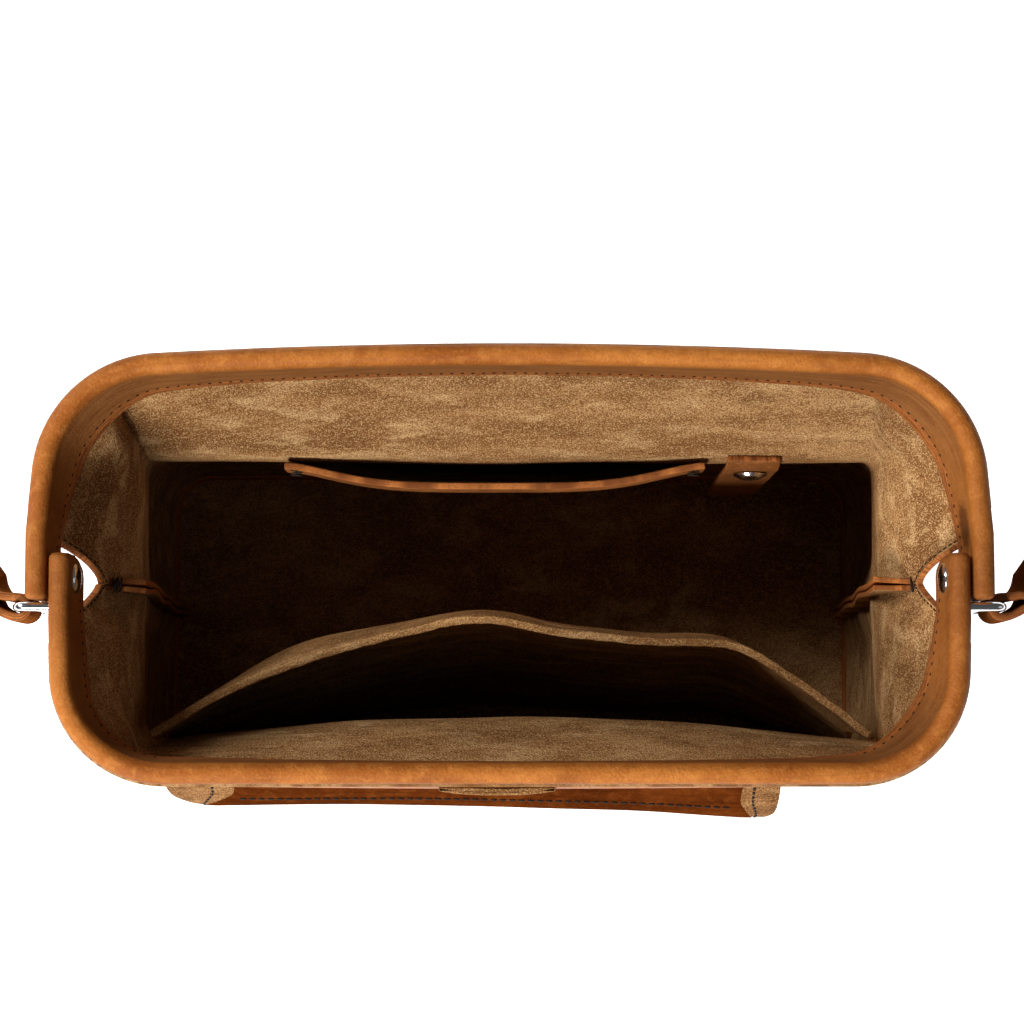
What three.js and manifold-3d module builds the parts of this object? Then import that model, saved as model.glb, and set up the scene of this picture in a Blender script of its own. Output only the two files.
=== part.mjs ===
// Frame-top leather handbag, standing open on its base, with its shoulder strap laid behind it.
// Millimetres, +Z up. The origin is the middle of the underside, +X is the bag's right and +Y its back.
import * as THREE from "three";
import { mergeVertices } from "three/addons/utils/BufferGeometryUtils.js";
import Module from "manifold-3d";

// Leather and clearances
const WALL = 2;
const CLEARANCE = 0.3;
const SEAM_GAP = 0.3;

// Rim: a round bead on top, a flat core below it and a thin facing inside the bag
const BEAD_Z = 206;
const BEAD_RADIUS = 3.2;
const BEAD_SIDES = 9;
const CORE_DEPTH = 15;
const FACING_DEPTH = 18;
const FACING_THICKNESS = 1.8;
const BODY_TOP_Z = BEAD_Z - 3;
const BODY_OFFSET = 4;
const CORE_OFFSET = BODY_OFFSET - WALL - CLEARANCE;
const TIP_REACH = 7;
const KNEE_Y = 13;
const KNEE_STEP = 2;

// Plan of the two rim halves along the middle of the bead. y runs away from the hinge line.
const BACK_RIM = { arm: 141.3, cornerX: 136.8, cornerY: 63, mid: 66.7, radius: 35 };
const FRONT_RIM = { arm: 134.1, cornerX: 132.2, cornerY: 58.4, mid: 58.4, radius: 31 };
// How far the facing and the body behind it lean into the bag over the depth of the facing
const RIM_LEAN = { arm: 0.5, cornerX: 3.5, cornerY: 2, mid: 0.3, radius: 2.5 };

// Outer surface of the body, level by level up to the rim, for the back and the front half
const BACK_LEVELS = [
  { z: 8.3, arm: 129, cornerX: 129, cornerY: 54, mid: 54, radius: 16 },
  { z: 30, arm: 131, cornerX: 131, cornerY: 56, mid: 56.5, radius: 18 },
  { z: 70, arm: 130, cornerX: 130, cornerY: 56, mid: 57, radius: 18 },
  { z: 110, arm: 125, cornerX: 124.5, cornerY: 51, mid: 51.5, radius: 11 },
  { z: 145, arm: 120.5, cornerX: 120.5, cornerY: 43.5, mid: 43.3, radius: 6 },
  { z: 165, arm: 128.5, cornerX: 127, cornerY: 52, mid: 53, radius: 13 },
];
const FRONT_LEVELS = [
  { z: 8.3, arm: 129, cornerX: 129, cornerY: 54, mid: 54, radius: 16 },
  { z: 30, arm: 131, cornerX: 131, cornerY: 56, mid: 56.5, radius: 18 },
  { z: 70, arm: 130, cornerX: 130, cornerY: 56, mid: 57, radius: 18 },
  { z: 110, arm: 125, cornerX: 124.5, cornerY: 53, mid: 51, radius: 11 },
  { z: 145, arm: 120.5, cornerX: 120.5, cornerY: 51, mid: 43.3, radius: 7 },
  { z: 165, arm: 126, cornerX: 124.5, cornerY: 54, mid: 49.5, radius: 13 },
];
const BODY_ROWS_Z = [8.3, 18, 34, 58, 82, 103, 120, 134, 145, 150, 158, 168, 178, 188, 203];
const WAIST_Z = 145;

// Side seam: where the halves meet, and the allowance that points into the bag
const SEAM_LEVELS = [
  { z: 8.3, x: 128, allowance: 7, flare: 3 },
  { z: 70, x: 126.5, allowance: 9, flare: 3 },
  { z: 120, x: 122, allowance: 11, flare: 4 },
  { z: 145, x: 120.5, allowance: 13, flare: 5 },
  { z: 170, x: 127, allowance: 13, flare: 9 },
];
const SEAM_TOP_Z = 170;
const ALLOWANCE_TOP_Z = 165;
const NOTCH_TOP_Z = 187;

// Base: a shallow tray, ring by ring from the underside out, up and back in
const BASE_RINGS = [
  { z: 0, halfWidth: 124.5, halfDepth: 49.5, radius: 12 },
  { z: 1.5, halfWidth: 127.5, halfDepth: 52.5, radius: 14.5 },
  { z: 8, halfWidth: 129, halfDepth: 54, radius: 16 },
  { z: 8, halfWidth: 126.5, halfDepth: 51.5, radius: 13.5 },
  { z: 2.5, halfWidth: 124, halfDepth: 49, radius: 12 },
];
const BASE_CORNER_STEPS = 6;

// Hinge rivets through both rim halves
const RIVET_Z = BEAD_Z - 9.5;
const RIVET_SHANK_RADIUS = 1.8;
const RIVET_HEAD_RADIUS = 4.5;
const RIVET_HEAD_HEIGHT = 2.2;
const RIVET_SIDES = 14;

// Strap loops: upright rectangular rings beside the front rim tips
const LOOP_WIRE_RADIUS = 1.35;
const LOOP_INNER_X = 139.95;
const LOOP_OUTER_X = 147.2;
const LOOP_TOP_Z = 205.5;
const LOOP_BOTTOM_Z = 182.5;
const LOOP_Y = -9;
const LOOP_CORNER = 2.6;
const LOOP_WIRE_SIDES = 8;
const LOOP_CORNER_STEPS = 3;

// Strap: a flat leather ribbon on edge. The route runs from the right loop to the middle behind the bag.
const STRAP_WIDTH = 18;
const STRAP_THICKNESS = 2.7;
const STRAP_Z = 194;
const STRAP_TURN_RADIUS = LOOP_WIRE_RADIUS + CLEARANCE + STRAP_THICKNESS / 2;
const STRAP_TURN_STEPS = 8;
const STRAP_FOLD_LENGTH = 42;
const STRAP_FOLD_CLOSE = 28;
const STRAP_STEP = 5.5;
const FLOOR_Z = STRAP_WIDTH / 2 + CLEARANCE;
// edge: 1 where the width of the strap stands upright, 0 where it lies level
const STRAP_ROUTE = [
  { x: 147.2, y: -6, z: 194, edge: 1 },
  { x: 152.5, y: -5.2, z: 194, edge: 0.97 },
  { x: 158, y: -2.2, z: 193.7, edge: 0.6 },
  { x: 167, y: 6, z: 191, edge: 0.4 },
  { x: 179, y: 16.5, z: 183, edge: 0.25 },
  { x: 191, y: 27, z: 164, edge: 0.1 },
  { x: 199, y: 35, z: 131, edge: 0 },
  { x: 204, y: 43, z: 92, edge: 0 },
  { x: 208, y: 51, z: 54, edge: 0.1 },
  { x: 213, y: 63, z: 27, edge: 0.5 },
  { x: 219, y: 82, z: 12.5, edge: 0.9 },
  { x: 224, y: 110, z: FLOOR_Z, edge: 1 },
  { x: 227, y: 150, z: FLOOR_Z, edge: 1 },
  { x: 226, y: 195, z: FLOOR_Z, edge: 1 },
  { x: 215, y: 232, z: FLOOR_Z, edge: 1 },
  { x: 187, y: 254, z: FLOOR_Z, edge: 1 },
  { x: 120, y: 259, z: FLOOR_Z, edge: 1 },
  { x: 55, y: 256, z: FLOOR_Z, edge: 1 },
  { x: 0, y: 255, z: FLOOR_Z, edge: 1 },
];

// Pocket inside the front: x and y of its open rim, and how much of that bulge is left at each level
const FRONT_POCKET_THICKNESS = 2.4;
const FRONT_POCKET_RIM = [
  { x: -114, y: -48.5 },
  { x: -97, y: -39.5 },
  { x: -66, y: -28 },
  { x: -35, y: -17 },
  { x: -9, y: -12.2 },
  { x: 16, y: -15.7 },
  { x: 44, y: -18.8 },
  { x: 72, y: -20.4 },
  { x: 91, y: -31.3 },
  { x: 114, y: -48 },
];
const FRONT_POCKET_LEVELS = [
  { z: 2.9, end: 112, line: -45, bulge: 0.3 },
  { z: 30, end: 118.5, line: -50, bulge: 0.5 },
  { z: 70, end: 118.5, line: -50, bulge: 0.75 },
  { z: 110, end: 114.5, line: -46.8, bulge: 0.95 },
  { z: 145, end: 109, line: -45, bulge: 1.02 },
  { z: 166, end: 112.5, line: -47, bulge: 1 },
];
const FRONT_POCKET_ROWS_Z = [2.9, 25, 50, 75, 100, 120, 136, 148, 158, 166];
const FRONT_POCKET_COLUMNS = 22;
const FRONT_POCKET_SLUMP = { x: -72, width: 30, z: 135, height: 32, depth: 8 };

// Pocket inside the back
const BACK_POCKET = { left: -72.6, right: 62.9, top: 152, bottom: 44, bulge: 6.5, thickness: 2 };
const BACK_POCKET_GAP = 0.9;
// How quickly the belly of this pocket grows from its bottom seam
const BACK_POCKET_SWELL = 1.6;
const BACK_POCKET_COLUMNS = 16;
const BACK_POCKET_ROWS_Z = [44, 60, 76, 92, 108, 122, 134, 145, 149, 152];

// Strip that hangs inside the back, with a domed snap cap
const KEY_STRAP = { left: 70, right: 87, top: 153, bottom: 66, thickness: 2 };
const KEY_STRAP_ROWS_Z = [66, 67, 68.5, 72, 90, 115, 140, 145, 149, 153];
const KEY_SNAP = { radius: 5.5, height: 2.4, belowTop: 14, gap: 0.1 };

// Pocket outside the front. depthY is the distance of its face from the hinge line.
const OUTER_POCKET = { left: -107, right: 84, thickness: 1.8, corner: 9, tightest: 0.6 };
const OUTER_POCKET_GAP = 0.6;
const OUTER_POCKET_LEVELS = [
  { z: 18, depthY: 59.4, spread: 0 },
  { z: 22, depthY: 61.6, spread: 0.1 },
  { z: 32, depthY: 63.4, spread: 0.4 },
  { z: 55, depthY: 64.4, spread: 0.8 },
  { z: 80, depthY: 64.9, spread: 1 },
  { z: 105, depthY: 65, spread: 1 },
  { z: 130, depthY: 64.8, spread: 1 },
  { z: 146, depthY: 64.5, spread: 1 },
];
// The pocket and its flap stand further out towards the right end
const OUTER_SPREAD = { start: -70, depth: 4.6 };
const OUTER_POCKET_COLUMNS = 10;
const OUTER_POCKET_CORNER_STEPS = 4;

// Flap over that pocket: its slope from the body out, and how far each end is cut back there
const FLAP_THICKNESS = 2;
const FLAP_COLUMNS = 18;
const FLAP_ROWS = [
  { out: 1.7, z: 177, leftCut: 1, rightCut: 1 },
  { out: 4.4, z: 170.5, leftCut: 0, rightCut: 0 },
  { out: 7.6, z: 163.5, leftCut: 1, rightCut: 0 },
  { out: 10, z: 156.5, leftCut: 4.5, rightCut: 0.5 },
  { out: 11.2, z: 149, leftCut: 8, rightCut: 2.5 },
  { out: 11.5, z: 140, leftCut: 10, rightCut: 4.5 },
];
const FLAP_ROOT_Z = 177;
const FLAP_REACH = 11.5;

// Tab under the middle of the front rim
const TAB = { left: -21, right: 13.5, y: -64.2, thickness: 2.6, endThickness: 1.2, bend: 0.8 };
const TAB_ROWS = [
  { z: 172, width: 0.5 },
  { z: 174, width: 0.76 },
  { z: 179, width: 0.95 },
  { z: 190, width: 1 },
  { z: 202, width: 1 },
];
const TAB_COLUMNS = 8;

// Finish of each kind of piece
const TAN_GRAIN = { color: 0xbe763e, roughness: 0.5, metalness: 0 };
const DARK_GRAIN = { color: 0x7a451f, roughness: 0.55, metalness: 0 };
const SUEDE = { color: 0x967046, roughness: 0.95, metalness: 0 };
const POLISHED = { color: 0xcfd0d2, roughness: 0.15, metalness: 1 };

const wasm = await Module();
wasm.setup();

const handbag = new THREE.Group();
handbag.name = "handbag";

/** Adds a piece to the handbag. */
function place(name, geometry, finish) {
  geometry.computeVertexNormals();
  const mesh = new THREE.Mesh(geometry, new THREE.MeshStandardMaterial(finish));
  mesh.name = name;
  handbag.add(mesh);
}

/** Geometry of a closed surface, with its faces turned to point out. */
function closedGeometry(points, faces) {
  let volume = 0;
  for (const [a, b, c] of faces) {
    volume += points[a].dot(new THREE.Vector3().crossVectors(points[b], points[c]));
  }
  const turned = volume < 0 ? faces.map(([a, b, c]) => [a, c, b]) : faces;
  return new THREE.BufferGeometry().setFromPoints(points).setIndex(turned.flat());
}

/** Closed solid between two grids of points with the same rows and columns. */
function solidBetween(outer, inner) {
  const rows = outer.length;
  const columns = outer[0].length;
  const at = (side, row, column) => (side * rows + row) * columns + column;
  const points = [...outer.flat(), ...inner.flat()];
  const faces = [];
  const quad = (a, b, c, d) => {
    const level = points[a].distanceTo(points[c]) <= points[b].distanceTo(points[d]);
    faces.push(...(level ? [[a, b, c], [a, c, d]] : [[a, b, d], [b, c, d]]));
  };
  for (let row = 0; row < rows - 1; row++) {
    for (let column = 0; column < columns - 1; column++) {
      const next = column + 1;
      quad(at(0, row, column), at(0, row, next), at(0, row + 1, next), at(0, row + 1, column));
      quad(at(1, row + 1, column), at(1, row + 1, next), at(1, row, next), at(1, row, column));
    }
    const end = columns - 1;
    quad(at(0, row, 0), at(0, row + 1, 0), at(1, row + 1, 0), at(1, row, 0));
    quad(at(1, row, end), at(1, row + 1, end), at(0, row + 1, end), at(0, row, end));
  }
  for (let column = 0; column < columns - 1; column++) {
    const next = column + 1;
    const top = rows - 1;
    quad(at(1, 0, column), at(1, 0, next), at(0, 0, next), at(0, 0, column));
    quad(at(0, top, column), at(0, top, next), at(1, top, next), at(1, top, column));
  }
  return closedGeometry(points, faces);
}

/** Closed solid through rings of points. It ends in flat caps, or runs round into itself. */
function solidThrough(rings, contour) {
  const sides = rings[0].length;
  const spans = contour ? rings.length - 1 : rings.length;
  const faces = [];
  for (let ring = 0; ring < spans; ring++) {
    const here = ring * sides;
    const there = ((ring + 1) % rings.length) * sides;
    for (let side = 0; side < sides; side++) {
      const next = (side + 1) % sides;
      faces.push([here + side, here + next, there + next]);
      faces.push([here + side, there + next, there + side]);
    }
  }
  if (contour) {
    const last = (rings.length - 1) * sides;
    for (const [a, b, c] of THREE.ShapeUtils.triangulateShape(contour, [])) {
      faces.push([c, b, a], [last + a, last + b, last + c]);
    }
  }
  return closedGeometry(rings.flat(), faces);
}

/** Solid of a sheet given by the grid of its middle surface, with its thickness at each point. */
function thickened(grid, thicknessAt) {
  const rows = grid.length;
  const columns = grid[0].length;
  const sides = [[], []];
  for (let row = 0; row < rows; row++) {
    sides.forEach((side) => side.push([]));
    for (let column = 0; column < columns; column++) {
      const along = new THREE.Vector3().subVectors(
        grid[row][Math.min(column + 1, columns - 1)],
        grid[row][Math.max(column - 1, 0)],
      );
      const up = new THREE.Vector3().subVectors(
        grid[Math.min(row + 1, rows - 1)][column],
        grid[Math.max(row - 1, 0)][column],
      );
      const normal = along.cross(up).normalize();
      const half = thicknessAt(row, column) / 2;
      sides[0][row].push(grid[row][column].clone().addScaledVector(normal, half));
      sides[1][row].push(grid[row][column].clone().addScaledVector(normal, -half));
    }
  }
  return solidBetween(sides[0], sides[1]);
}

/** Solid of a geometry, for cutting and joining. */
function manifoldOf(geometry) {
  const bare = new THREE.BufferGeometry();
  bare.setAttribute("position", geometry.getAttribute("position"));
  bare.setIndex(geometry.getIndex());
  const merged = mergeVertices(bare, 1e-4);
  const vertProperties = merged.getAttribute("position").array;
  const triVerts = new Uint32Array(merged.getIndex().array);
  return new wasm.Manifold(new wasm.Mesh({ numProp: 3, vertProperties, triVerts }));
}

/** Geometry of a solid after cutting and joining. */
function geometryOf(manifold) {
  const mesh = manifold.getMesh();
  const geometry = new THREE.BufferGeometry();
  geometry.setAttribute("position", new THREE.BufferAttribute(mesh.vertProperties, mesh.numProp));
  geometry.setIndex(new THREE.BufferAttribute(mesh.triVerts, 1));
  return geometry;
}

/** Smooth reading of a table of levels: a function from z to a row of the other columns. */
function levelReader(levels) {
  const columns = Object.keys(levels[0]).filter((column) => column !== "z");
  const heights = levels.map((level) => level.z);
  const values = levels.flatMap((level) => columns.map((column) => level[column]));
  const curve = new THREE.CubicInterpolant(heights, values, columns.length);
  const [lowest, highest] = [heights[0], heights[heights.length - 1]];
  return (z) => {
    const row = curve.evaluate(THREE.MathUtils.clamp(z, lowest, highest));
    return Object.fromEntries(columns.map((column, index) => [column, row[index]]));
  };
}

/** Plan measures moved out by a distance and leaned in by a share of the rim's lean. */
function leaned(plan, offset, share) {
  const moved = {};
  for (const key of Object.keys(RIM_LEAN)) {
    moved[key] = plan[key] + offset - share * RIM_LEAN[key];
  }
  return moved;
}

/** Points of a rounded corner between two straight lines that meet at a vertex. */
function roundedCorner(before, vertex, after, radius, steps) {
  const back = new THREE.Vector2().subVectors(before, vertex).normalize();
  const ahead = new THREE.Vector2().subVectors(after, vertex).normalize();
  const halfAngle = Math.acos(THREE.MathUtils.clamp(back.dot(ahead), -1, 1)) / 2;
  const bisector = new THREE.Vector2().addVectors(back, ahead).normalize();
  const centre = vertex.clone().addScaledVector(bisector, radius / Math.sin(halfAngle));
  const reach = radius / Math.tan(halfAngle);
  const start = vertex.clone().addScaledVector(back, reach).sub(centre);
  const sweep = (2 * halfAngle - Math.PI) * Math.sign(back.cross(ahead));
  return Array.from({ length: steps + 1 }, (_, step) =>
    start.clone().rotateAround(new THREE.Vector2(), (sweep * step) / steps).add(centre),
  );
}

/** Half of a U-shaped plan line, from the knee of the arm round the corner to the middle of the bar. */
function halfPlan({ arm, cornerX, cornerY, mid, radius }) {
  const armSteps = 2;
  const cornerSteps = 5;
  const barSteps = 4;
  const knee = new THREE.Vector2(arm, KNEE_Y);
  const vertex = new THREE.Vector2(cornerX, cornerY);
  const middle = new THREE.Vector2(0, mid);
  const slope = new THREE.Vector2().subVectors(vertex, knee).normalize();
  const aboveKnee = knee.clone().addScaledVector(slope, KNEE_STEP);
  const corner = roundedCorner(knee, vertex, middle, radius, cornerSteps);
  const points = [knee, aboveKnee];
  for (let step = 1; step < armSteps; step++) {
    points.push(aboveKnee.clone().lerp(corner[0], step / armSteps));
  }
  points.push(...corner);
  const barStart = corner[cornerSteps];
  const bar = new THREE.QuadraticBezierCurve(barStart, new THREE.Vector2(barStart.x / 2, mid), middle);
  points.push(...bar.getPoints(barSteps).slice(1));
  return points;
}

/** A half plan line continued by its mirror image on the other side of the bag. */
function mirrored(half) {
  const left = half.slice(0, -1).map((point) => new THREE.Vector2(-point.x, point.y));
  return [...half, ...left.reverse()];
}

/** A plan line moved to its left by a distance, mitred where it bends. */
function offsetLine(points, distance) {
  const sharpest = 0.4;
  const normals = points.slice(1).map((point, index) => {
    const along = new THREE.Vector2().subVectors(point, points[index]).normalize();
    return new THREE.Vector2(-along.y, along.x);
  });
  return points.map((point, index) => {
    const before = normals[Math.max(index - 1, 0)];
    const after = normals[Math.min(index, normals.length - 1)];
    const mitre = new THREE.Vector2().addVectors(before, after).normalize();
    return point.clone().addScaledVector(mitre, distance / Math.max(mitre.dot(before), sharpest));
  });
}

/** Levels of one body half with the two rows that follow its rim. */
function wallLevels(levels, rim) {
  return [
    ...levels,
    { z: BEAD_Z - FACING_DEPTH, ...leaned(rim, BODY_OFFSET, 1) },
    { z: BODY_TOP_Z, ...leaned(rim, BODY_OFFSET, 0) },
  ];
}

const readSeam = levelReader(SEAM_LEVELS);
const readWall = {
  back: levelReader(wallLevels(BACK_LEVELS, BACK_RIM)),
  front: levelReader(wallLevels(FRONT_LEVELS, FRONT_RIM)),
};

/** Distance from the hinge line to the outer surface of a body half, at a place along its width. */
function wallY(half, x, z) {
  const line = halfPlan(readWall[half](z));
  for (let index = line.length - 1; index > 0; index--) {
    const [near, far] = [line[index], line[index - 1]];
    if (Math.abs(x) <= far.x) {
      const share = (Math.abs(x) - near.x) / (far.x - near.x);
      return THREE.MathUtils.lerp(near.y, far.y, share);
    }
  }
  return line[0].y;
}

/** Half plan line of a body half at one level, from the end of the seam allowance to the middle. */
function bodyPlan(half, z) {
  const seam = readSeam(z);
  const flare = THREE.MathUtils.degToRad(seam.flare);
  const corner = new THREE.Vector2(seam.x, SEAM_GAP / 2);
  const inward = new THREE.Vector2(-Math.cos(flare), Math.sin(flare));
  const end = corner.clone().addScaledVector(inward, seam.allowance);
  const rest = halfPlan(readWall[half](z));
  const gussetSteps = 3;
  const gusset = [];
  for (let step = 1; step < gussetSteps; step++) {
    gusset.push(corner.clone().lerp(rest[0], step / gussetSteps));
  }
  return [end, corner, ...gusset, ...rest];
}

/** Top edge of each column of a body half: a notch at the seam, and the rim's height beyond it. */
function columnTops(columns) {
  const kneeColumn = 4;
  return Array.from({ length: columns }, (_, column) => {
    if (column === 0) return ALLOWANCE_TOP_Z;
    if (column > kneeColumn) return BODY_TOP_Z;
    return THREE.MathUtils.lerp(SEAM_TOP_Z, NOTCH_TOP_Z, (column - 1) / (kneeColumn - 1));
  });
}

/** One half of the body: bar, corners, gussets and the seam allowances, as one leather wall. */
function bodyHalf(half, side) {
  const columns = bodyPlan(half, WAIST_Z).length;
  const tops = columnTops(columns);
  const outer = [];
  const inner = [];
  for (const rowZ of BODY_ROWS_Z) {
    const share = Math.max(0, (rowZ - WAIST_Z) / (BODY_TOP_Z - WAIST_Z));
    const heights = tops.map((top) => (share > 0 ? WAIST_Z + share * (top - WAIST_Z) : rowZ));
    const line = mirrored(heights.map((z, column) => bodyPlan(half, z)[column]));
    const allHeights = [...heights, ...heights.slice(0, -1).reverse()];
    const lift = (point, index) => new THREE.Vector3(point.x, side * point.y, allHeights[index]);
    outer.push(line.map(lift));
    inner.push(offsetLine(line, WALL).map(lift));
  }
  return solidBetween(outer, inner);
}

/** Outline of the rim's section: offset out of the bag, and height from the middle of the bead. */
function rimSection() {
  const section = [];
  const start = -Math.acos(CORE_OFFSET / BEAD_RADIUS);
  for (let side = 0; side <= BEAD_SIDES; side++) {
    const angle = THREE.MathUtils.lerp(start, Math.PI, side / BEAD_SIDES);
    section.push(new THREE.Vector2(BEAD_RADIUS * Math.cos(angle), BEAD_RADIUS * Math.sin(angle)));
  }
  const facingBack = FACING_THICKNESS - BEAD_RADIUS;
  section.push(new THREE.Vector2(-BEAD_RADIUS, -CORE_DEPTH));
  section.push(new THREE.Vector2(-BEAD_RADIUS, -FACING_DEPTH));
  section.push(new THREE.Vector2(facingBack, -FACING_DEPTH));
  section.push(new THREE.Vector2(facingBack, -CORE_DEPTH));
  section.push(new THREE.Vector2(CORE_OFFSET, -CORE_DEPTH));
  return section;
}

/** One half of the rim, swept along its plan from tip to tip, with a hole for the rivets. */
function rimHalf(plan, side) {
  const section = rimSection();
  const lines = section.map((point) => {
    const share = Math.max(0, -point.y / FACING_DEPTH);
    const half = halfPlan(leaned(plan, point.x, share));
    const tip = new THREE.Vector2(plan.arm + point.x, -TIP_REACH);
    return mirrored([tip, ...half]);
  });
  const rings = lines[0].map((_, column) =>
    section.map((point, index) => {
      const place = lines[index][column];
      return new THREE.Vector3(place.x, side * place.y, BEAD_Z + point.y);
    }),
  );
  const hole = rod(RIVET_SHANK_RADIUS + CLEARANCE, 2 * (plan.arm + BEAD_RADIUS + WALL));
  hole.translate(0, 0, RIVET_Z);
  return geometryOf(manifoldOf(solidThrough(rings, section)).subtract(manifoldOf(hole)));
}

/** Round rod along X, with its middle at the origin. */
function rod(radius, length) {
  return new THREE.CylinderGeometry(radius, radius, length, RIVET_SIDES).rotateZ(Math.PI / 2);
}

/** Rounded rectangle in plan. */
function roundedRectangle(halfWidth, halfDepth, radius, steps) {
  const corners = [
    new THREE.Vector2(halfWidth, -halfDepth),
    new THREE.Vector2(halfWidth, halfDepth),
    new THREE.Vector2(-halfWidth, halfDepth),
    new THREE.Vector2(-halfWidth, -halfDepth),
  ];
  return corners.flatMap((corner, index) =>
    roundedCorner(corners[(index + 3) % 4], corner, corners[(index + 1) % 4], radius, steps),
  );
}

/** Shallow tray that the bag stands on. */
function base() {
  const outlines = BASE_RINGS.map(({ halfWidth, halfDepth, radius }) =>
    roundedRectangle(halfWidth, halfDepth, radius, BASE_CORNER_STEPS),
  );
  const rings = outlines.map((outline, index) =>
    outline.map((point) => new THREE.Vector3(point.x, point.y, BASE_RINGS[index].z)),
  );
  return solidThrough(rings, outlines[0]);
}

/** Rivet along X: a shank with a domed head inside the front arm and another outside the back arm. */
function hingeRivet(side) {
  const innerSeat = FRONT_RIM.arm - BEAD_RADIUS - CLEARANCE;
  const outerSeat = BACK_RIM.arm + CORE_OFFSET + CLEARANCE;
  const domeSteps = 3;
  const dome = (seat, direction) =>
    Array.from({ length: domeSteps + 1 }, (_, step) => {
      const angle = ((Math.PI / 2) * step) / domeSteps;
      const radius = RIVET_HEAD_RADIUS * Math.cos(angle);
      return new THREE.Vector2(radius, seat + direction * RIVET_HEAD_HEIGHT * Math.sin(angle));
    });
  const profile = [
    ...dome(innerSeat, -1).reverse(),
    new THREE.Vector2(RIVET_SHANK_RADIUS, innerSeat),
    new THREE.Vector2(RIVET_SHANK_RADIUS, outerSeat),
    ...dome(outerSeat, 1),
  ];
  profile[0].x = 0;
  profile[profile.length - 1].x = 0;
  const rivet = new THREE.LatheGeometry(profile, RIVET_SIDES).rotateZ((-side * Math.PI) / 2);
  return geometryOf(manifoldOf(rivet.translate(0, 0, RIVET_Z)));
}

/** Upright rectangular wire loop with the short post that carries it on the front rim. */
function strapLoop(side) {
  const middleX = (LOOP_INNER_X + LOOP_OUTER_X) / 2;
  const middleZ = (LOOP_TOP_Z + LOOP_BOTTOM_Z) / 2;
  const halfX = (LOOP_OUTER_X - LOOP_INNER_X) / 2;
  const halfZ = (LOOP_TOP_Z - LOOP_BOTTOM_Z) / 2;
  const path = roundedRectangle(halfX, halfZ, LOOP_CORNER, LOOP_CORNER_STEPS);
  const rings = path.map((point, index) => {
    const before = path[(index + path.length - 1) % path.length];
    const after = path[(index + 1) % path.length];
    const along = new THREE.Vector2().subVectors(after, before).normalize();
    return Array.from({ length: LOOP_WIRE_SIDES }, (_, step) => {
      const angle = (2 * Math.PI * step) / LOOP_WIRE_SIDES;
      const outward = LOOP_WIRE_RADIUS * Math.cos(angle);
      return new THREE.Vector3(
        side * (middleX + point.x + along.y * outward),
        LOOP_Y + LOOP_WIRE_RADIUS * Math.sin(angle),
        middleZ + point.y - along.x * outward,
      );
    });
  });
  const postStart = FRONT_RIM.arm + BEAD_RADIUS + CLEARANCE;
  const postEnd = LOOP_INNER_X + LOOP_CORNER;
  const post = rod(LOOP_WIRE_RADIUS, postEnd - postStart);
  post.translate((side * (postEnd + postStart)) / 2, LOOP_Y, LOOP_TOP_Z);
  return geometryOf(manifoldOf(solidThrough(rings)).add(manifoldOf(post)));
}

/** Places along the strap, from the right loop round behind the bag to the left loop. */
function strapRun() {
  const left = STRAP_ROUTE.slice(0, -1).map((row) => ({ ...row, x: -row.x }));
  const route = [...STRAP_ROUTE, ...left.reverse()];
  const curve = new THREE.CatmullRomCurve3(route.map(({ x, y, z }) => new THREE.Vector3(x, y, z)));
  const steps = Math.round(curve.getLength() / STRAP_STEP);
  return Array.from({ length: steps + 1 }, (_, step) => {
    const t = curve.getUtoTmapping(step / steps);
    const at = t * (route.length - 1);
    const row = Math.min(Math.floor(at), route.length - 2);
    const edge = THREE.MathUtils.lerp(route[row].edge, route[row + 1].edge, at - row);
    const along = curve.getTangent(t);
    const level = new THREE.Vector3(along.y, -along.x, 0).normalize();
    const width = level.multiplyScalar(1 - edge).add(new THREE.Vector3(0, 0, edge));
    width.addScaledVector(along, -width.dot(along)).normalize();
    return { centre: curve.getPoint(t), along, width };
  });
}

/** Places of the fold-back at one end: along the run's outer side, then round the loop's outer bar. */
function strapFold(run, side) {
  const places = [];
  let distance = 0;
  for (let step = 1; distance < STRAP_FOLD_LENGTH; step++) {
    const { centre, along, width } = run[step];
    distance += centre.distanceTo(run[step - 1].centre);
    const closed = THREE.MathUtils.smoothstep(distance, 0, STRAP_FOLD_CLOSE);
    const gap = THREE.MathUtils.lerp(2 * STRAP_TURN_RADIUS, STRAP_THICKNESS + CLEARANCE, closed);
    const outward = new THREE.Vector3().crossVectors(along, width).multiplyScalar(side);
    const folded = { centre: centre.clone().addScaledVector(outward, gap), width };
    places.unshift({ ...folded, along: along.clone().negate() });
  }
  for (let step = 0; step < STRAP_TURN_STEPS; step++) {
    const angle = (Math.PI * step) / STRAP_TURN_STEPS;
    const along = new THREE.Vector3(-side * Math.cos(angle), Math.sin(angle), 0);
    const x = side * (LOOP_OUTER_X - STRAP_TURN_RADIUS * Math.sin(angle));
    const y = LOOP_Y - STRAP_TURN_RADIUS * Math.cos(angle);
    places.push({ centre: new THREE.Vector3(x, y, STRAP_Z), along, width: new THREE.Vector3(0, 0, 1) });
  }
  return places;
}

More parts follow.
